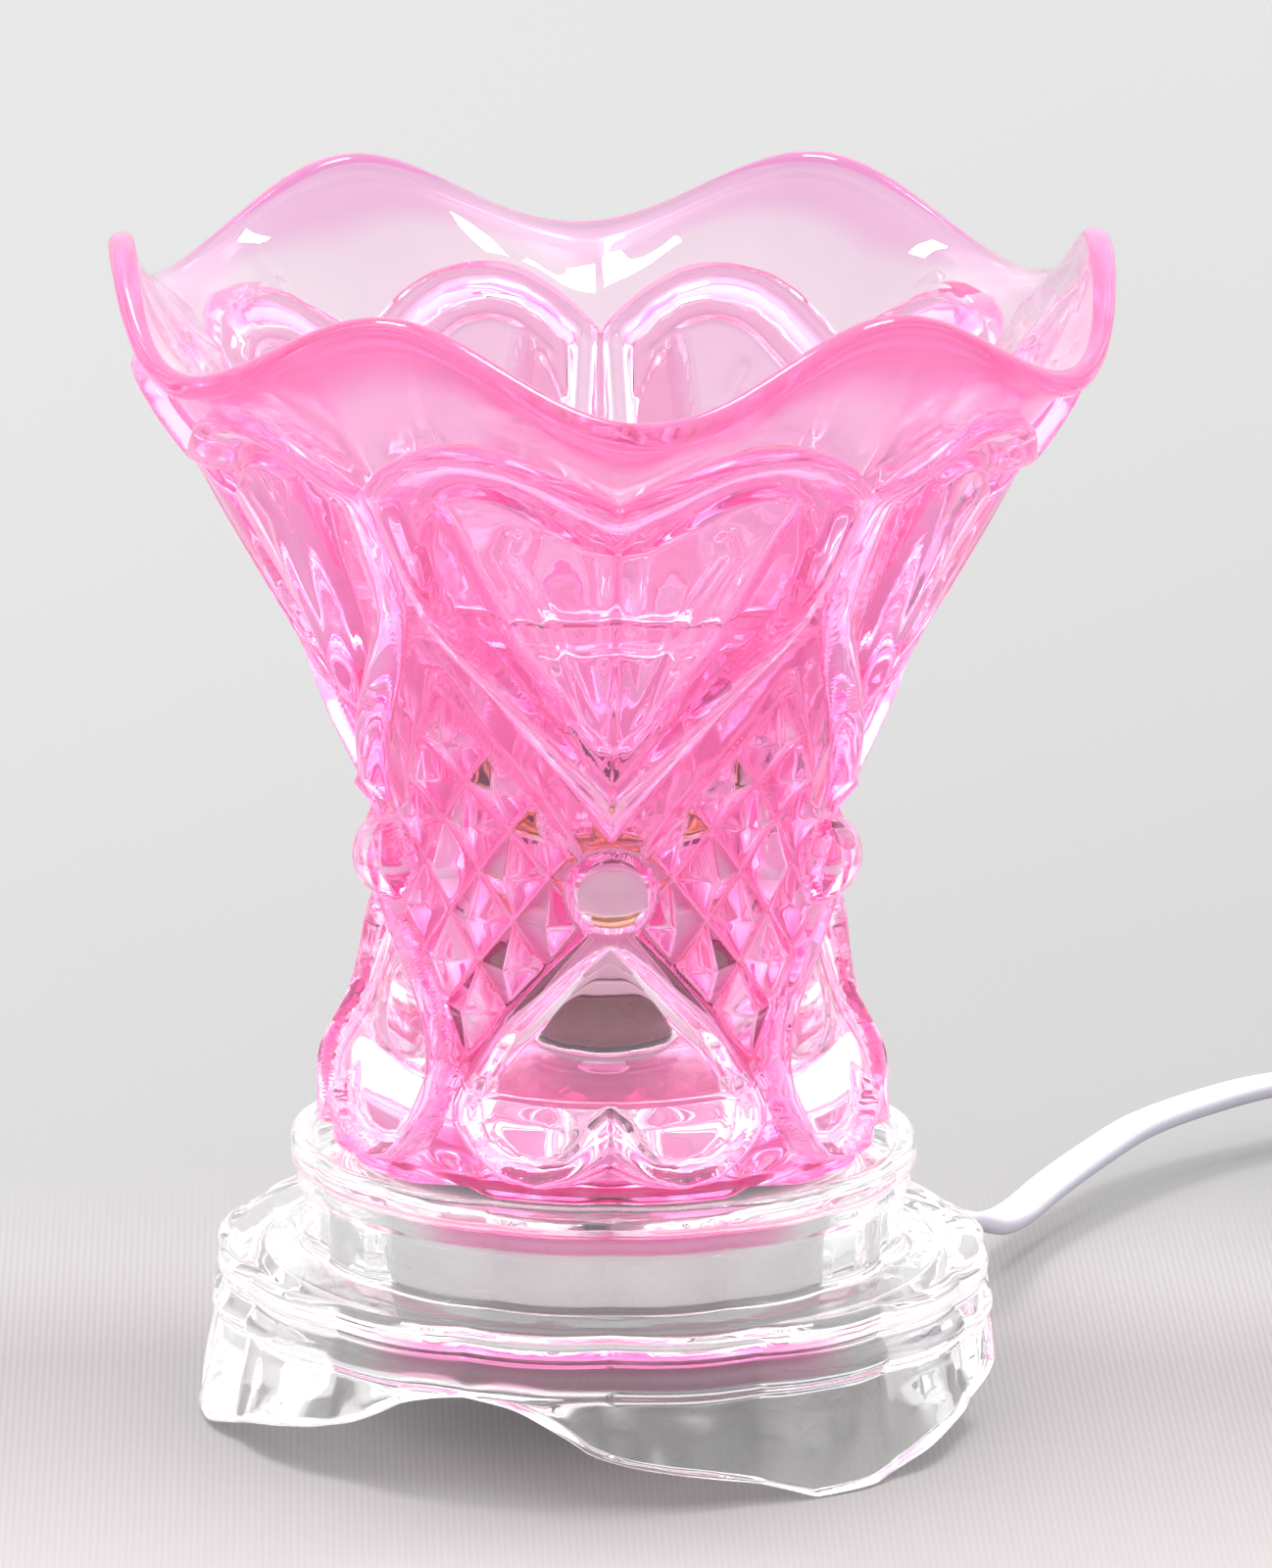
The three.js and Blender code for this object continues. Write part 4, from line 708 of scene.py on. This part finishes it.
# Glass base
FOOT_EDGE = [  # height of the skirt's edge at [degrees from a foot's middle]
    (-60, 13.6), (-56, 13.9), (-52, 13.8), (-49, 13.5), (-46, 12.8), (-42, 11), (-39, 9.4), (-35.5, 7.3),
    (-31, 6), (-25, 5), (-18, 3.9), (-11, 2.6), (-5, 0.9), (-2, 0), (8, 0), (15, 1.5), (25, 3.8), (33, 5.3),
    (39, 6.4), (46, 8.3), (51, 10.4), (55, 12.4), (60, 13.6),
]
FOOT_TURN = 33
FACET = 13  # degrees from ridge to ridge of the skirt's facets
# Corners of the section, counted from 0, that get a painted reflection of the shade's pink, and how much of
# it.
PAINTED_PINK_CORNERS = {5: 0.6, 6: 0.95, 7: 0.9, 13: 0.95, 14: 1.0, 15: 0.8}


def base_section(azimuth):
    """Section at each azimuth, from the top's hole out over the tiers and back under."""
    edge = np.clip(along(FOOT_EDGE, (azimuth - FOOT_TURN + 60) % 120 - 60), 0, 14)
    flute = np.abs(np.sin(np.radians(8 * azimuth)))
    lip, wall, ledge, skirt = 42.9 + 0.5 * flute, 40.8 + flute, 51.6 + flute, 52.8 + flute
    middle, top = mix(edge, 14.8, 0.5), 37.2
    facet = np.abs((azimuth / FACET) % 1 - 0.5) * 2

    def spread(z):
        return mix(55.6, skirt - 0.4, z / 14.8) + 0.6 * flute

    section = [
        (BORE, top), (lip - 3.3, top), (lip - 2.6, top + 1.6), (lip - 0.7, top + 1.6), (lip, top + 0.4),
        (lip - 0.2, 35.4), (lip - 1.2, 34.6), (lip - 0.7, 33), (wall, 31.4), (wall - 0.2, 24.6),
        (wall + 0.6, 23.9), (ledge - 0.4, 23.9), (ledge + 1, 22.6), (ledge + 0.8, 20.6), (ledge - 0.2, 19.4),
        (skirt + 0.2, 17.6), (skirt + 0.5, 15.9), (skirt - 0.4, 14.8), (spread(middle) - 0.9 * facet, middle),
        (spread(edge) - 0.45 * (1 - facet), edge + 0.7), (spread(edge) - 1.2, edge),
        (spread(edge) - 4.4, edge), (48, mix(edge, 16.8, 0.6)), (46.2, 19.5), (36.8, 19.5), (35.6, 20.9),
        (35.3, 34), (BORE, 34),
    ]
    return np.stack([np.stack(np.broadcast_arrays(r, z, azimuth)[:2], 1) for r, z in section], 1)


def rounded_section(here, radius=0.7):
    """Rounds the corners of sections [column, corner, radius and height], four points to each."""
    ends = []
    for other in (np.roll(here, 1, 1), np.roll(here, -1, 1)):
        span = np.linalg.norm(other - here, axis=-1, keepdims=True) + 1e-9
        ends.append(here + (other - here) / span * np.minimum(radius, 0.42 * span))
    points = np.stack([bend(ends[0], here, ends[1], t) for t in np.linspace(0, 1, 4)], 2)
    return points.reshape(len(here), -1, 2)


def build_base():
    columns = 384
    azimuth = np.arange(columns) * 360 / columns
    section = rounded_section(base_section(azimuth))[:, ::-1]
    mesh = grid_mesh("glass_base_skin", around(azimuth, section[..., 0], section[..., 1]))
    reflected_pink = np.repeat([PAINTED_PINK_CORNERS.get(corner, 0) for corner in range(section.shape[1] // 4)], 4)[::-1]
    # The pink is a painted reflection of the shade, put only on the front and back and left clear at the
    # sides.
    front_and_back = smooth(0.74, 0.88, np.abs(np.cos(np.radians(azimuth))))
    marked(mesh, "stain_and_reflection", front_and_back[:, None] * reflected_pink[None, :])
    base = finish_object("glass_base_skin", mesh, [clear_glass], BODY, ["glass_base"])
    cut(base, drill(clear_glass, 4.4, 40, 70, aim=True))


# Turned pieces and blocks
def softened(profile, radius):
    """The profile with its corners rounded, apart from those on the axis."""
    profile = np.array(profile, float)
    points = []
    for before, here, after in zip(np.roll(profile, 1, 0), profile, np.roll(profile, -1, 0)):
        if here[0] < 1e-6 or radius <= 0:
            points.append(here)
            continue
        ends = []
        for other in (before, after):
            span = np.linalg.norm(other - here)
            ends.append(here + (other - here) / span * min(radius, 0.4 * span))
        points += [bend(ends[0], here, ends[1], t) for t in (0, 0.33, 0.67, 1)]
    return points


def turned(name, profile, look, replaced=(), sides=64, soften=0.25, aim=False, body=BODY, centre=(0, 0)):
    """A closed profile [radius, height] turned round its axis, which aim lays along the cord's exit."""
    vertices, rings = [], []
    for r, z in softened(profile, soften):
        count = sides if r > 1e-6 else 1
        rings.append(range(len(vertices), len(vertices) + count))
        vertices.extend(ring_row(circle(count), r, z))
    faces = []
    for lower, upper in zip(rings, rings[1:] + rings[:1]):
        if len(lower) + len(upper) == 2:
            continue
        for k in range(sides):
            places = [(lower, k), (lower, k + 1), (upper, k + 1), (upper, k)]
            faces.append(list(dict.fromkeys(row[place % len(row)] for row, place in places)))
    place = np.array(vertices)
    if aim:
        x, y = bearing(EXIT_AZIMUTH)
        place = place @ np.array([[-y, x, 0], [0, 0, 1], [x, y, 0]]) + [0, 0, EXIT_HEIGHT]
    place[:, :2] += centre
    obj = new_object(name, place, faces, look, body, replaced)
    sharpen(obj)
    return obj


def ring(inner, outer, low, high):
    return [[inner, low], [outer, low], [outer, high], [inner, high]]


def slab(name, outline, low, high, look, replaced=(), *, edges, place=None):
    """A block with the outline [x, y] and rounded lower and upper edges."""
    outline = np.array(outline, float)
    tangent = np.roll(outline, -1, 0) - np.roll(outline, 1, 0)
    normal = unit(np.stack([tangent[:, 1], -tangent[:, 0]], 1))
    turns = np.linspace(0, math.pi / 2, 5)
    levels = [(low + edges[0] * (1 - math.cos(t)), edges[0] * (1 - math.sin(t))) for t in turns]
    levels += [(high - edges[1] * (1 - math.sin(t)), edges[1] * (1 - math.cos(t))) for t in turns]
    rows = [np.column_stack([outline - normal * inset, np.full(len(outline), z)]) for z, inset in levels]
    vertices = np.concatenate(rows)
    if place:
        vertices = place(vertices)
    obj = new_object(name, vertices, tube_faces(len(rows), len(outline)), look, BODY, replaced)
    sharpen(obj)
    return obj


def box_outline(x0, y0, x1, y1, corner=0.0, steps=8):
    if corner == 0:
        return [(x0, y0), (x1, y0), (x1, y1), (x0, y1)]
    x0, y0, x1, y1 = x0 + corner, y0 + corner, x1 - corner, y1 - corner
    points = []
    for x, y, start in [(x1, y0, -90), (x1, y1, 0), (x0, y1, 90), (x0, y0, 180)]:
        for angle in np.radians(np.linspace(start, start + 90, steps + 1)):
            points.append((x + corner * math.cos(angle), y + corner * math.sin(angle)))
    return points


def cut(obj, *tools):
    """Cuts the tools out of the object and removes them."""
    for tool in tools:
        change = obj.modifiers.new("cut", "BOOLEAN")
        change.operation, change.solver, change.object = "DIFFERENCE", "EXACT", tool
    graph = bpy.context.evaluated_depsgraph_get()
    mesh = bpy.data.meshes.new_from_object(obj.evaluated_get(graph))
    obj.modifiers.clear()
    mesh.name = obj.data.name + "_cut"
    obj.data = mesh
    for tool in tools:
        bpy.data.objects.remove(tool)


def drill(look, radius, low, high, sides=48, centre=(0, 0), aim=False):
    """A round tool to cut with."""
    return turned("drill", ring(0, radius, low, high), look, sides=sides, soften=0, centre=centre, aim=aim)


def chisel(look, outline, low, high, place=None):
    """A square-edged tool to cut with."""
    return slab("chisel", outline, low, high, look, edges=(0.01, 0.01), place=place)


def helix(name, radius, low, high, wall, pitch, depth, look, replaced, body=BODY, floor=()):
    """Thin shell with a rolled thread. Its lower end may close in over the floor's rows."""
    outer = [(r, z, 0.0) for r, z in floor]
    for z in np.arange(low, high, pitch / 9):
        outer.append((radius, z, min(1.0, (z - low) / 1.2, (high - z) / 1.2)))
    outer.append((radius, high, 0.0))
    inner = [(r, z + wall, rise) for r, z, rise in outer[: len(floor)]]
    inner += [(r - wall, z, rise) for r, z, rise in outer[len(floor) :]]
    angle = circle(72)
    rows = []
    for r, z, rise in outer + inner[::-1]:
        wave = depth * rise * (0.5 + 0.5 * np.cos(2 * np.pi * z / pitch - angle))
        rows.append(ring_row(angle, r - depth * min(1, rise * 3) + wave, z))
    return grid_object(name, rows, look, replaced, body)


def hex_nut(name, bore, flats, low, high, look, replaced):
    angle = circle(144)
    sixth = np.pi / 3
    to_flat = flats / 2 / np.cos((angle + sixth / 2) % sixth - sixth / 2)
    corner = flats / 2 / math.cos(sixth / 2)
    levels = [(low, 1.1), (low + 0.5, 0), (low + 0.9, 0), (high - 0.9, 0), (high - 0.5, 0), (high, 1.1)]
    rows = [ring_row(angle, np.minimum(to_flat, corner - bevel), z) for z, bevel in levels]
    for radius, z in [(bore + 0.5, high), (bore, high - 0.5), (bore, low + 0.5), (bore + 0.5, low)]:
        rows.append(ring_row(angle, radius, z))
    sharpen(grid_object(name, rows, look, replaced), 25)


build_shade()
build_base()


# Clamping stack and lampholder
def build_stack():
    turned("gasket_ring", ring(24, 32, 37.5, 39.3), silicone, ["seat_gasket"], 96, 0.5)
    cover = [[BORE, 33.7], [34.2, 33.7], [34.2, 22.7], [33.2, 22.7], [33.2, 32.7], [BORE, 32.7]]
    turned("cover_cup", cover, white_metal, ["wiring_cover"], 96, 1.0)
    turned("lower_rubber", ring(5.1, 10, 31.4, 32.4), silicone, ["lower_rubber_washer"])
    turned("lower_steel", ring(5.1, 11, 30.2, 31.1), zinc, ["lower_steel_washer"], soften=0.2)
    hex_nut("lock_nut", 5.1, 14, 25.9, 29.9, zinc, ["lower_lock_nut"])
    turned("upper_rubber", ring(5.1, 10, 47.3, 48.3), silicone, ["upper_rubber_washer"])
    turned("upper_steel", ring(5.1, 11, 48.6, 49.5), zinc, ["upper_steel_washer"], soften=0.2)
    helix("thread_tube", 4.8, 23.4, 54.2, 1.2, 1.0, 0.22, zinc, ["threaded_tube"])


def build_lampholder():
    base_cup = [[5.1, 49.8], [10, 49.8], [10, 60.2], [8, 60.2], [8, 51.8], [5.1, 51.8]]
    turned("lampholder_base", base_cup, phenolic, ["holder_base"], soften=0.8)
    plate = turned("contact_plate", ring(0, 10, 60.5, 62.7), porcelain, ["contact_carrier"], soften=0.4)
    screw_x = 5.4
    holes = [drill(phenolic, 1.1, 59, 62, 24, (side * screw_x, 0)) for side in (-1, 1)]
    cut(plate, drill(phenolic, 1.2, 59, 64, 32), *holes)
    sleeve = [[7.3, 63], [10, 63], [10, 66], [9.6, 66.4], [9.6, 67], [10, 67.4], [10, 76.4], [7.3, 76.4]]
    turned("lampholder_sleeve", sleeve, porcelain, ["holder_sleeve"], soften=0.6)
    helix("shell_thread", 7, 63.6, 75.8, 0.5, 2.8, 0.25, brass, ["screw_shell"], floor=[(3, 63), (6.6, 63)])
    contact = [[0, 59.7], [0.9, 59.7], [0.9, 63], [2, 63], [2, 64.5], [1.2, 65], [0, 65]]
    turned("contact_rivet", contact, brass, ["centre_contact"], 40, 0.3)
    screw = [[0, 57.8], [1.8, 57.8], [1.8, 58.9], [0.8, 58.9], [0.8, 61.7], [0, 61.7]]
    for side, word in ((-1, "left"), (1, "right")):
        x = side * screw_x
        outline = box_outline(x - 1.6, -2, x + 1.6, 2, 0.4, 4)
        edges = (0.15, 0.15)
        tab = slab(f"terminal_tab_{word}", outline, 59.2, 60.2, brass, [f"terminal_{word}"], edges=edges)
        cut(tab, drill(brass, 1.1, 58, 61, 32, (x, 0)))
        replaced = [f"terminal_screw_{word}"]
        head = turned(f"terminal_head_{word}", screw, zinc, replaced, 40, 0.3, centre=(x, 0))
        cut(head, chisel(zinc, box_outline(x - 2.2, -0.25, x + 2.2, 0.25), 57.0, 58.25))


# Bulb
def wire(name, points, radius, look, replaced, body=BODY, sides=12):
    path = spline(points, 1.0)
    forward = directions(path)
    one = unit(np.cross(forward, [0.31, 0.83, 0.47]))
    two = np.cross(forward, one)
    angle = circle(sides)[None, :, None]
    rings = path[:, None] + radius * (np.cos(angle) * one[:, None] + np.sin(angle) * two[:, None])
    new_object(name, rings.reshape(-1, 3), tube_faces(len(path), sides), look, body, replaced)


def coiled_filament():
    path = spline([(-3.6, 0, 95.9), (-3, 0, 97.6), (0, 0, 98.5), (3, 0, 97.6), (3.6, 0, 95.9)], 0.25)
    side = np.array([0, 1.0, 0])
    up = np.cross(directions(path), side)
    distance = np.concatenate([[0], np.cumsum(np.linalg.norm(np.diff(path, axis=0), axis=1))])
    fine = np.linspace(0, distance[-1], int(distance[-1] * 26))
    middle, up = [np.stack([np.interp(fine, distance, v[:, k]) for k in range(3)], 1) for v in (path, up)]
    turn = (fine / 0.5 * 2 * np.pi)[:, None]
    return middle + 0.26 * (np.cos(turn) * up + np.sin(turn) * side)


def build_bulb():
    tip = [[0, 65.3], [1.4, 65.3], [2, 65.9], [2, 66.4], [0, 66.4]]
    turned("tip_contact", tip, zinc, ["bulb_tip"], 40, 0.3, body=BULB)
    insulator = [[0, 66.7], [2.8, 66.7], [4.8, 68.2], [0, 68.2]]
    turned("tip_insulator", insulator, black_glass, ["bulb_insulator"], 64, 0.3, body=BULB)
    floor = [(0.02, 68.5), (4.4, 68.6), (5.3, 69.0)]
    helix("cap_thread", 6.0, 69.6, 80.2, 0.5, 2.8, 0.5, brass, ["bulb_cap"], BULB, floor)
    turns = np.linspace(0, 2.5, 26)
    outer = [[12.5 * math.sin(turn), 91.5 + 12.5 * math.cos(turn)] for turn in turns]
    inner = [[11.7 * math.sin(turn), 91.5 + 11.7 * math.cos(turn)] for turn in turns[::-1]]
    neck = [[6.1, 81.1], [5.9, 80.9], [5.9, 80.5], [5.1, 80.5], [5.1, 80.9], [5.5, 81.4]]
    turned("bulb_globe", outer + neck + inner, bulb_glass, ["bulb_envelope"], 96, 0.0, body=BULB)
    stem = [[0, 76], [4.7, 77.2], [2.4, 80.5], [1.9, 83], [2.2, 88], [0, 88.6]]
    turned("stem_glass", stem, bulb_glass, ["bulb_stem"], 48, 1.0, body=BULB)
    for side, word in ((-1, "left"), (1, "right")):
        points = [(side * 1.2, 0, 89), (side * 1.5, 0, 91), (side * 3.4, 0, 95.2)]
        wire(f"leg_wire_{word}", points, 0.38, tungsten, [f"filament_leg_{word}"], BULB)
    points = [(0, 0, 88.9), (0, 1.1, 92), (0, 1.1, 96)]
    wire("support_wire", points, 0.38, tungsten, ["filament_support"], BULB)
    wire("coiled_filament", coiled_filament()[::2], 0.2, tungsten, ["filament"], BULB, 6)


# Dish
def build_dish():
    room = 0.4
    seat, lip, low = [float(inside(z)) - room for z in (118, 121.4, 115)]
    low -= 2.4
    profile = [
        [0, 109.9], [13, 109.9], [13.8, 109.4], [15, 109.4], [23, 111], [low, 115], [seat, 118], [lip, 120.8],
        [lip - 0.6, 121.4], [seat - 2.2, 121], [low - 2.2, 116.6], [22, 113.1], [14, 111.6], [0, 111.6],
    ]
    turned("dish_bowl", profile, dish_glass, ["oil_dish"], 96, 0.6, body=DISH)


# Wiring and bushing
def build_wiring():
    bushing = [
        [0, 44.8], [4.7, 44.8], [4.1, 46.3], [4.1, 55.6], [5.6, 55.6], [5.6, 57.6], [4.4, 58.2],
        [4.3, 59.4], [3.9, 59.8], [4.1, 61], [3.7, 61.4], [3.9, 62.6], [3.5, 63], [3.6, 64.4], [3.2, 65],
        [3.2, 67], [0, 67],
    ]
    turned("strain_relief", bushing, white_flex, ["cord_bushing"], 64, 0.3, aim=True)
    inner_path = spline([outward(44.5), outward(40), outward(30, 10.2), outward(17, 8.4), outward(11, 8.4)])
    vertices, faces, _ = cord_mesh(inner_path, [[0, 30], [1, 0]])
    new_object("cord_inside", vertices, faces, white_flex, replaced=["inner_cord"])
    ex, ey = bearing(EXIT_AZIMUTH)
    for side, word in ((-1, "left"), (1, "right")):
        start, x = 8.4 + side * 1.3, side * 1.6
        points = [
            outward(10.7, start), [ex * 6 + x * 0.4, ey * 6, start + 1], [x, 0.8, 17], [x, 0, 24.4],
            [x, 0, 40], [x, 0, 54.2], [x * 1.2, 0, 56.7], [side * 2.5, 0, 60.2],
        ]
        wire(f"lead_{word}", points, 1.0, white_flex, [f"inner_lead_{word}"], sides=16)


# Dimmer, plug and tie
def at_dimmer(vertices):
    turn = math.radians(-DIMMER["turn"])
    x = vertices[:, 0] * math.cos(turn) - vertices[:, 1] * math.sin(turn) + DIMMER["x"]
    y = vertices[:, 0] * math.sin(turn) + vertices[:, 1] * math.cos(turn) + DIMMER["y"]
    return np.column_stack([x, y, vertices[:, 2]])


def dimmer_point(y):
    turn = math.radians(-DIMMER["turn"])
    return (DIMMER["x"] - y * math.sin(turn), DIMMER["y"] + y * math.cos(turn))


def build_dimmer():
    half_width, half_length = DIMMER["width"] / 2, DIMMER["length"] / 2
    outline = box_outline(-half_width, -half_length, half_width, half_length, DIMMER["corner"], 14)
    seam = DIMMER["lower"] + SEAT_GAP
    centre = dimmer_point(0)

    def case(half, low, high, edges, *tools):
        name, replaced = f"dimmer_case_{half}", [f"dimmer_{half}_shell"]
        shell = slab(name, outline, low, high, white_plastic, replaced, edges=edges, place=at_dimmer)
        cut(shell, drill(white_plastic, 16.1, 5.75, 11.35, centre=centre), *tools)
        sharpen(shell, 35)
        return shell

    def screw_holes(radius, low, high):
        return [drill(white_plastic, radius, low, high, centre=dimmer_point(y)) for y in DIMMER["screws"]]

    board_room = chisel(white_plastic, box_outline(-11.4, -16.4, 11.4, 16.4), 1.8, 6.05, at_dimmer)
    stepped_holes = [*screw_holes(1.4, 1, 12), *screw_holes(2.1, -1, 2.4)]
    lower = case("lower", 0, DIMMER["lower"], (2.2, 0.35), board_room, *stepped_holes)
    axle_room = drill(white_plastic, 2.3, 10, 14.8, centre=centre)
    upper = case("upper", seam, seam + DIMMER["upper"], (0.35, 3.0), axle_room, *screw_holes(1.4, 1, 13.4))
    angle = circle(336)
    rib = 0.6 * (0.5 - 0.5 * np.cos(28 * angle)) ** 0.7
    tread = [(0.5, 6.05), (0.1, 6.2), (0, 6.5), (0, 10.6), (0.1, 10.9), (0.5, 11.05)]
    axle = [
        (2.3, 11.05), (2, 11.35), (2, 14.2), (1.7, 14.45), (0.02, 14.45), (0.02, 4.0), (1.7, 4.0), (2, 4.25),
        (2, 5.75), (2.3, 6.05),
    ]
    rows = [ring_row(angle, 15.3 - rib - inset, z, centre) for inset, z in tread]
    rows += [ring_row(angle, radius, z, centre) for radius, z in axle]
    wheel = grid_object("dimmer_thumbwheel", rows, white_plastic, ["dimmer_wheel"], WHEEL)
    sharpen(wheel, 40)
    outline = box_outline(-11, -16, 11, 16, 0.8, 4)
    replaced, edges = ["dimmer_board"], (0.1, 0.1)
    board = slab("dimmer_laminate", outline, 2.1, 3.7, board_green, replaced, edges=edges, place=at_dimmer)
    pieces = [lower, upper, wheel, board]
    screw = [[0, 0.6], [1.8, 0.6], [1.8, 2.1], [1.1, 2.1], [1.1, 13.1], [0, 13.1]]
    for i, y in enumerate(DIMMER["screws"], 1):
        px, py = dimmer_point(y)
        head = turned(f"case_screw_{i}", screw, zinc, [f"dimmer_screw_{i}"], 40, 0.35, centre=(px, py))
        for across, back in ((0.2, 1.15), (1.15, 0.2)):
            slot = box_outline(px - across, py - back, px + across, py + back)
            cut(head, chisel(zinc, slot, 0.2, 1.2))
        pieces.append(head)
    return pieces


def squarish(values):
    return np.sign(values) * np.abs(values) ** 0.45


def build_plug():
    angle, middle, length = circle(64, 0.5), PLUG["height"] / 2, PLUG["length"]
    rows = []
    for y in [0, 0.25, 0.8, *range(2, 21, 2), 23, 26, 27.2, 27.75, length]:
        inset = 0.8 * (1 - min(1, min(y, length - y) / 0.8) ** 0.5)
        half_width = mix(PLUG["tail"], PLUG["width"], smooth(2, 18, y)) / 2
        x = (half_width - inset) * squarish(np.cos(angle)) + PLUG["x"]
        z = (middle - inset) * squarish(np.sin(angle)) + middle
        rows.append(np.stack([x, np.full(len(angle), PLUG["y"] + y), z], 1))
    faces = tube_faces(len(rows), len(angle))
    body = new_object("plug_moulding", np.concatenate(rows), faces, white_plastic, BODY, ["plug_body"])
    pieces = [body]
    for i, side in enumerate((-1, 1), 1):
        x, y = PLUG["x"] + side * 6.35, PLUG["y"]
        socket = box_outline(x - 1.05, y + 23.7, x + 1.05, y + 29)
        cut(body, chisel(brass, socket, middle - 3.45, middle + 3.45))
        outline = box_outline(x - 0.75, y + 24, x + 0.75, y + 44, 0.5, 5)
        low, high, edges = middle - 3.15, middle + 3.15, (0.4, 0.4)
        blade = slab(f"plug_pin_{i}", outline, low, high, brass, [f"plug_blade_{i}"], edges=edges)
        hole = drill(brass, 1.6, -3, 3, 32)
        place = Matrix.Translation(Vector((x, y + 40, middle)) * MM)
        hole.data.transform(place @ Matrix.Rotation(math.pi / 2, 4, "Y"))
        cut(blade, hole)
        sharpen(blade, 35)
        pieces.append(blade)
    sharpen(body, 45)
    return pieces


def build_tie():
    room = 0.35
    reach = CORD_THICKNESS / 2 + room
    near = COIL["y"] - COIL["radius"] - reach
    far = COIL["y"] - COIL["radius"] + COIL["pitch"] * COIL["turns"] / 2 + reach
    low, high = COIL["lift"] - room, COIL_HIGH + CORD_WIDTH / 2 + room
    outside_loop = box_outline(near - 0.5, low - 0.5, far + 0.5, high + 0.5, 1.2)
    rows = []
    for outline, way in ((outside_loop, 1), (box_outline(near, low, far, high, 0.7), -1)):
        outline = np.array(outline)
        inward = unit(outline.mean(0) - outline) * way
        for x, inset in [(-3, 0.12), (-2.8, 0), (2.8, 0), (3, 0.12)][::way]:
            rows.append(np.column_stack([np.full(len(outline), COIL["x"] + x), outline + inward * inset]))
    tie = grid_object("coil_band", rows, black_rubber, ["coil_tie"])
    sharpen(tie, 40)
    return tie


build_stack()
build_lampholder()
build_bulb()
build_dish()
build_wiring()
dimmer_pieces = build_dimmer()
build_plug()
build_tie()


# Stage and light
# The near cloth colour is a painted pool of light. The paper colours paint light that is brighter on the left
# and further back.
CLOTH_DARK, CLOTH_PALE, CLOTH_LIT_PATCH = (0.262, 0.25, 0.252), (0.303, 0.293, 0.295), (0.47, 0.458, 0.448)
PAPER_LEFT, PAPER_RIGHT, PAPER_FAR = (0.26, 0.259, 0.259), (0.233, 0.232, 0.232), (0.335, 0.335, 0.335)


def cloth():
    """Fine ribs running away from the viewer, with a painted pool of light in front of the burner, and plain
    grey behind it with painted light, lighter on the left and further back.
    """
    mat, tree, shader = material("cloth")
    place = node(tree, "TexCoord").outputs["Object"]
    part = node(tree, "SeparateXYZ", {"Vector": place}).outputs
    across, depth = part["X"], part["Y"]
    wave = {"Vector": place, "Scale": 330.0, "Distortion": 0.8, "Detail": 1.0, "Detail Scale": 3.0}
    rib = node(tree, "TexWave", wave, wave_type="BANDS", bands_direction="X").outputs["Fac"]
    fleck = maths(tree, "MULTIPLY", noise(tree, 900.0, 3.0), 0.4)
    both = maths(tree, "ADD", maths(tree, "MULTIPLY", rib, 0.7), fleck)
    ribbed = ramp(tree, both, [(0.1, CLOTH_DARK), (0.9, CLOTH_PALE)])
    # A painted pool of light on the cloth in front of the burner.
    near = maths(tree, "MULTIPLY", ranged(tree, depth, 0.02, -0.16, 0.85), ranged(tree, depth, -0.4, -0.17))
    ribbed = blended(tree, near, ribbed, (*CLOTH_LIT_PATCH, 1))
    # The paper is painted lighter on the left than the right, and lighter further back, as painted light.
    plain = ramp(tree, ranged(tree, across, -0.12, 0.13), [(0.0, PAPER_LEFT), (1.0, PAPER_RIGHT)])
    plain = blended(tree, ranged(tree, depth, 0.25, 1.5), plain, (*PAPER_FAR, 1))
    behind = ranged(tree, depth, 0.05, 0.13, interpolation_type="SMOOTHSTEP")
    tree.links.new(blended(tree, behind, ribbed, plain), shader.inputs["Base Color"])
    shader.inputs["Roughness"].default_value = 0.75
    bumped(tree, shader, rib, 0.06, 0.0001)
    return mat


def build_floor():
    reach = 9.0
    mesh = bpy.data.meshes.new("cloth_floor")
    corners = [(-reach, -reach, 0), (reach, -reach, 0), (reach, reach, 0), (-reach, reach, 0)]
    mesh.from_pydata(corners, [], [(0, 1, 2, 3)])
    mesh.materials.append(cloth())
    floor = bpy.data.objects.new("cloth_floor", mesh)
    bpy.context.scene.collection.objects.link(floor)


def build_sky():
    world = bpy.data.worlds.new("world")
    bpy.context.scene.world = world
    world.use_nodes = True
    tree = world.node_tree
    place = node(tree, "TexCoord").outputs["Generated"]
    height = ranged(tree, node(tree, "SeparateXYZ", {"Vector": place}).outputs["Z"], -0.2, 0.9)
    sky = ramp(tree, height, [(0.0, grey(0.6)), (0.2, grey(0.62)), (0.45, grey(1.05)), (1.0, grey(1.5))])
    background = tree.nodes["Background"]
    tree.links.new(sky, background.inputs["Color"])
    background.inputs["Strength"].default_value = 1.36


def softbox(name, place, strength):
    """A soft lamp aimed at the burner. Its place is in metres."""
    data = bpy.data.lights.new(name, "AREA")
    data.shape, data.size, data.energy = "SQUARE", 0.5, strength
    lamp = bpy.data.objects.new(name, data)
    bpy.context.scene.collection.objects.link(lamp)
    direction = Vector((0, 0, 0.1)) - Vector(place)
    turned_to = direction.to_track_quat("-Z", "Y").to_matrix().to_4x4()
    lamp.matrix_world = Matrix.Translation(Vector(place)) @ turned_to


build_floor()
build_sky()
softbox("window_left", (-0.6, 0.35, 1.8), 18)
softbox("window_right", (0.65, 0.3, 1.75), 16)
view, cycles = bpy.context.scene.view_settings, bpy.context.scene.cycles
view.view_transform, view.exposure = "Standard", 0.0
cycles.max_bounces = cycles.transmission_bounces = 48
cycles.glossy_bounces, cycles.diffuse_bounces, cycles.transparent_max_bounces = 32, 6, 12
cycles.caustics_reflective, cycles.caustics_refractive = False, True
cycles.sample_clamp_indirect = 8.0
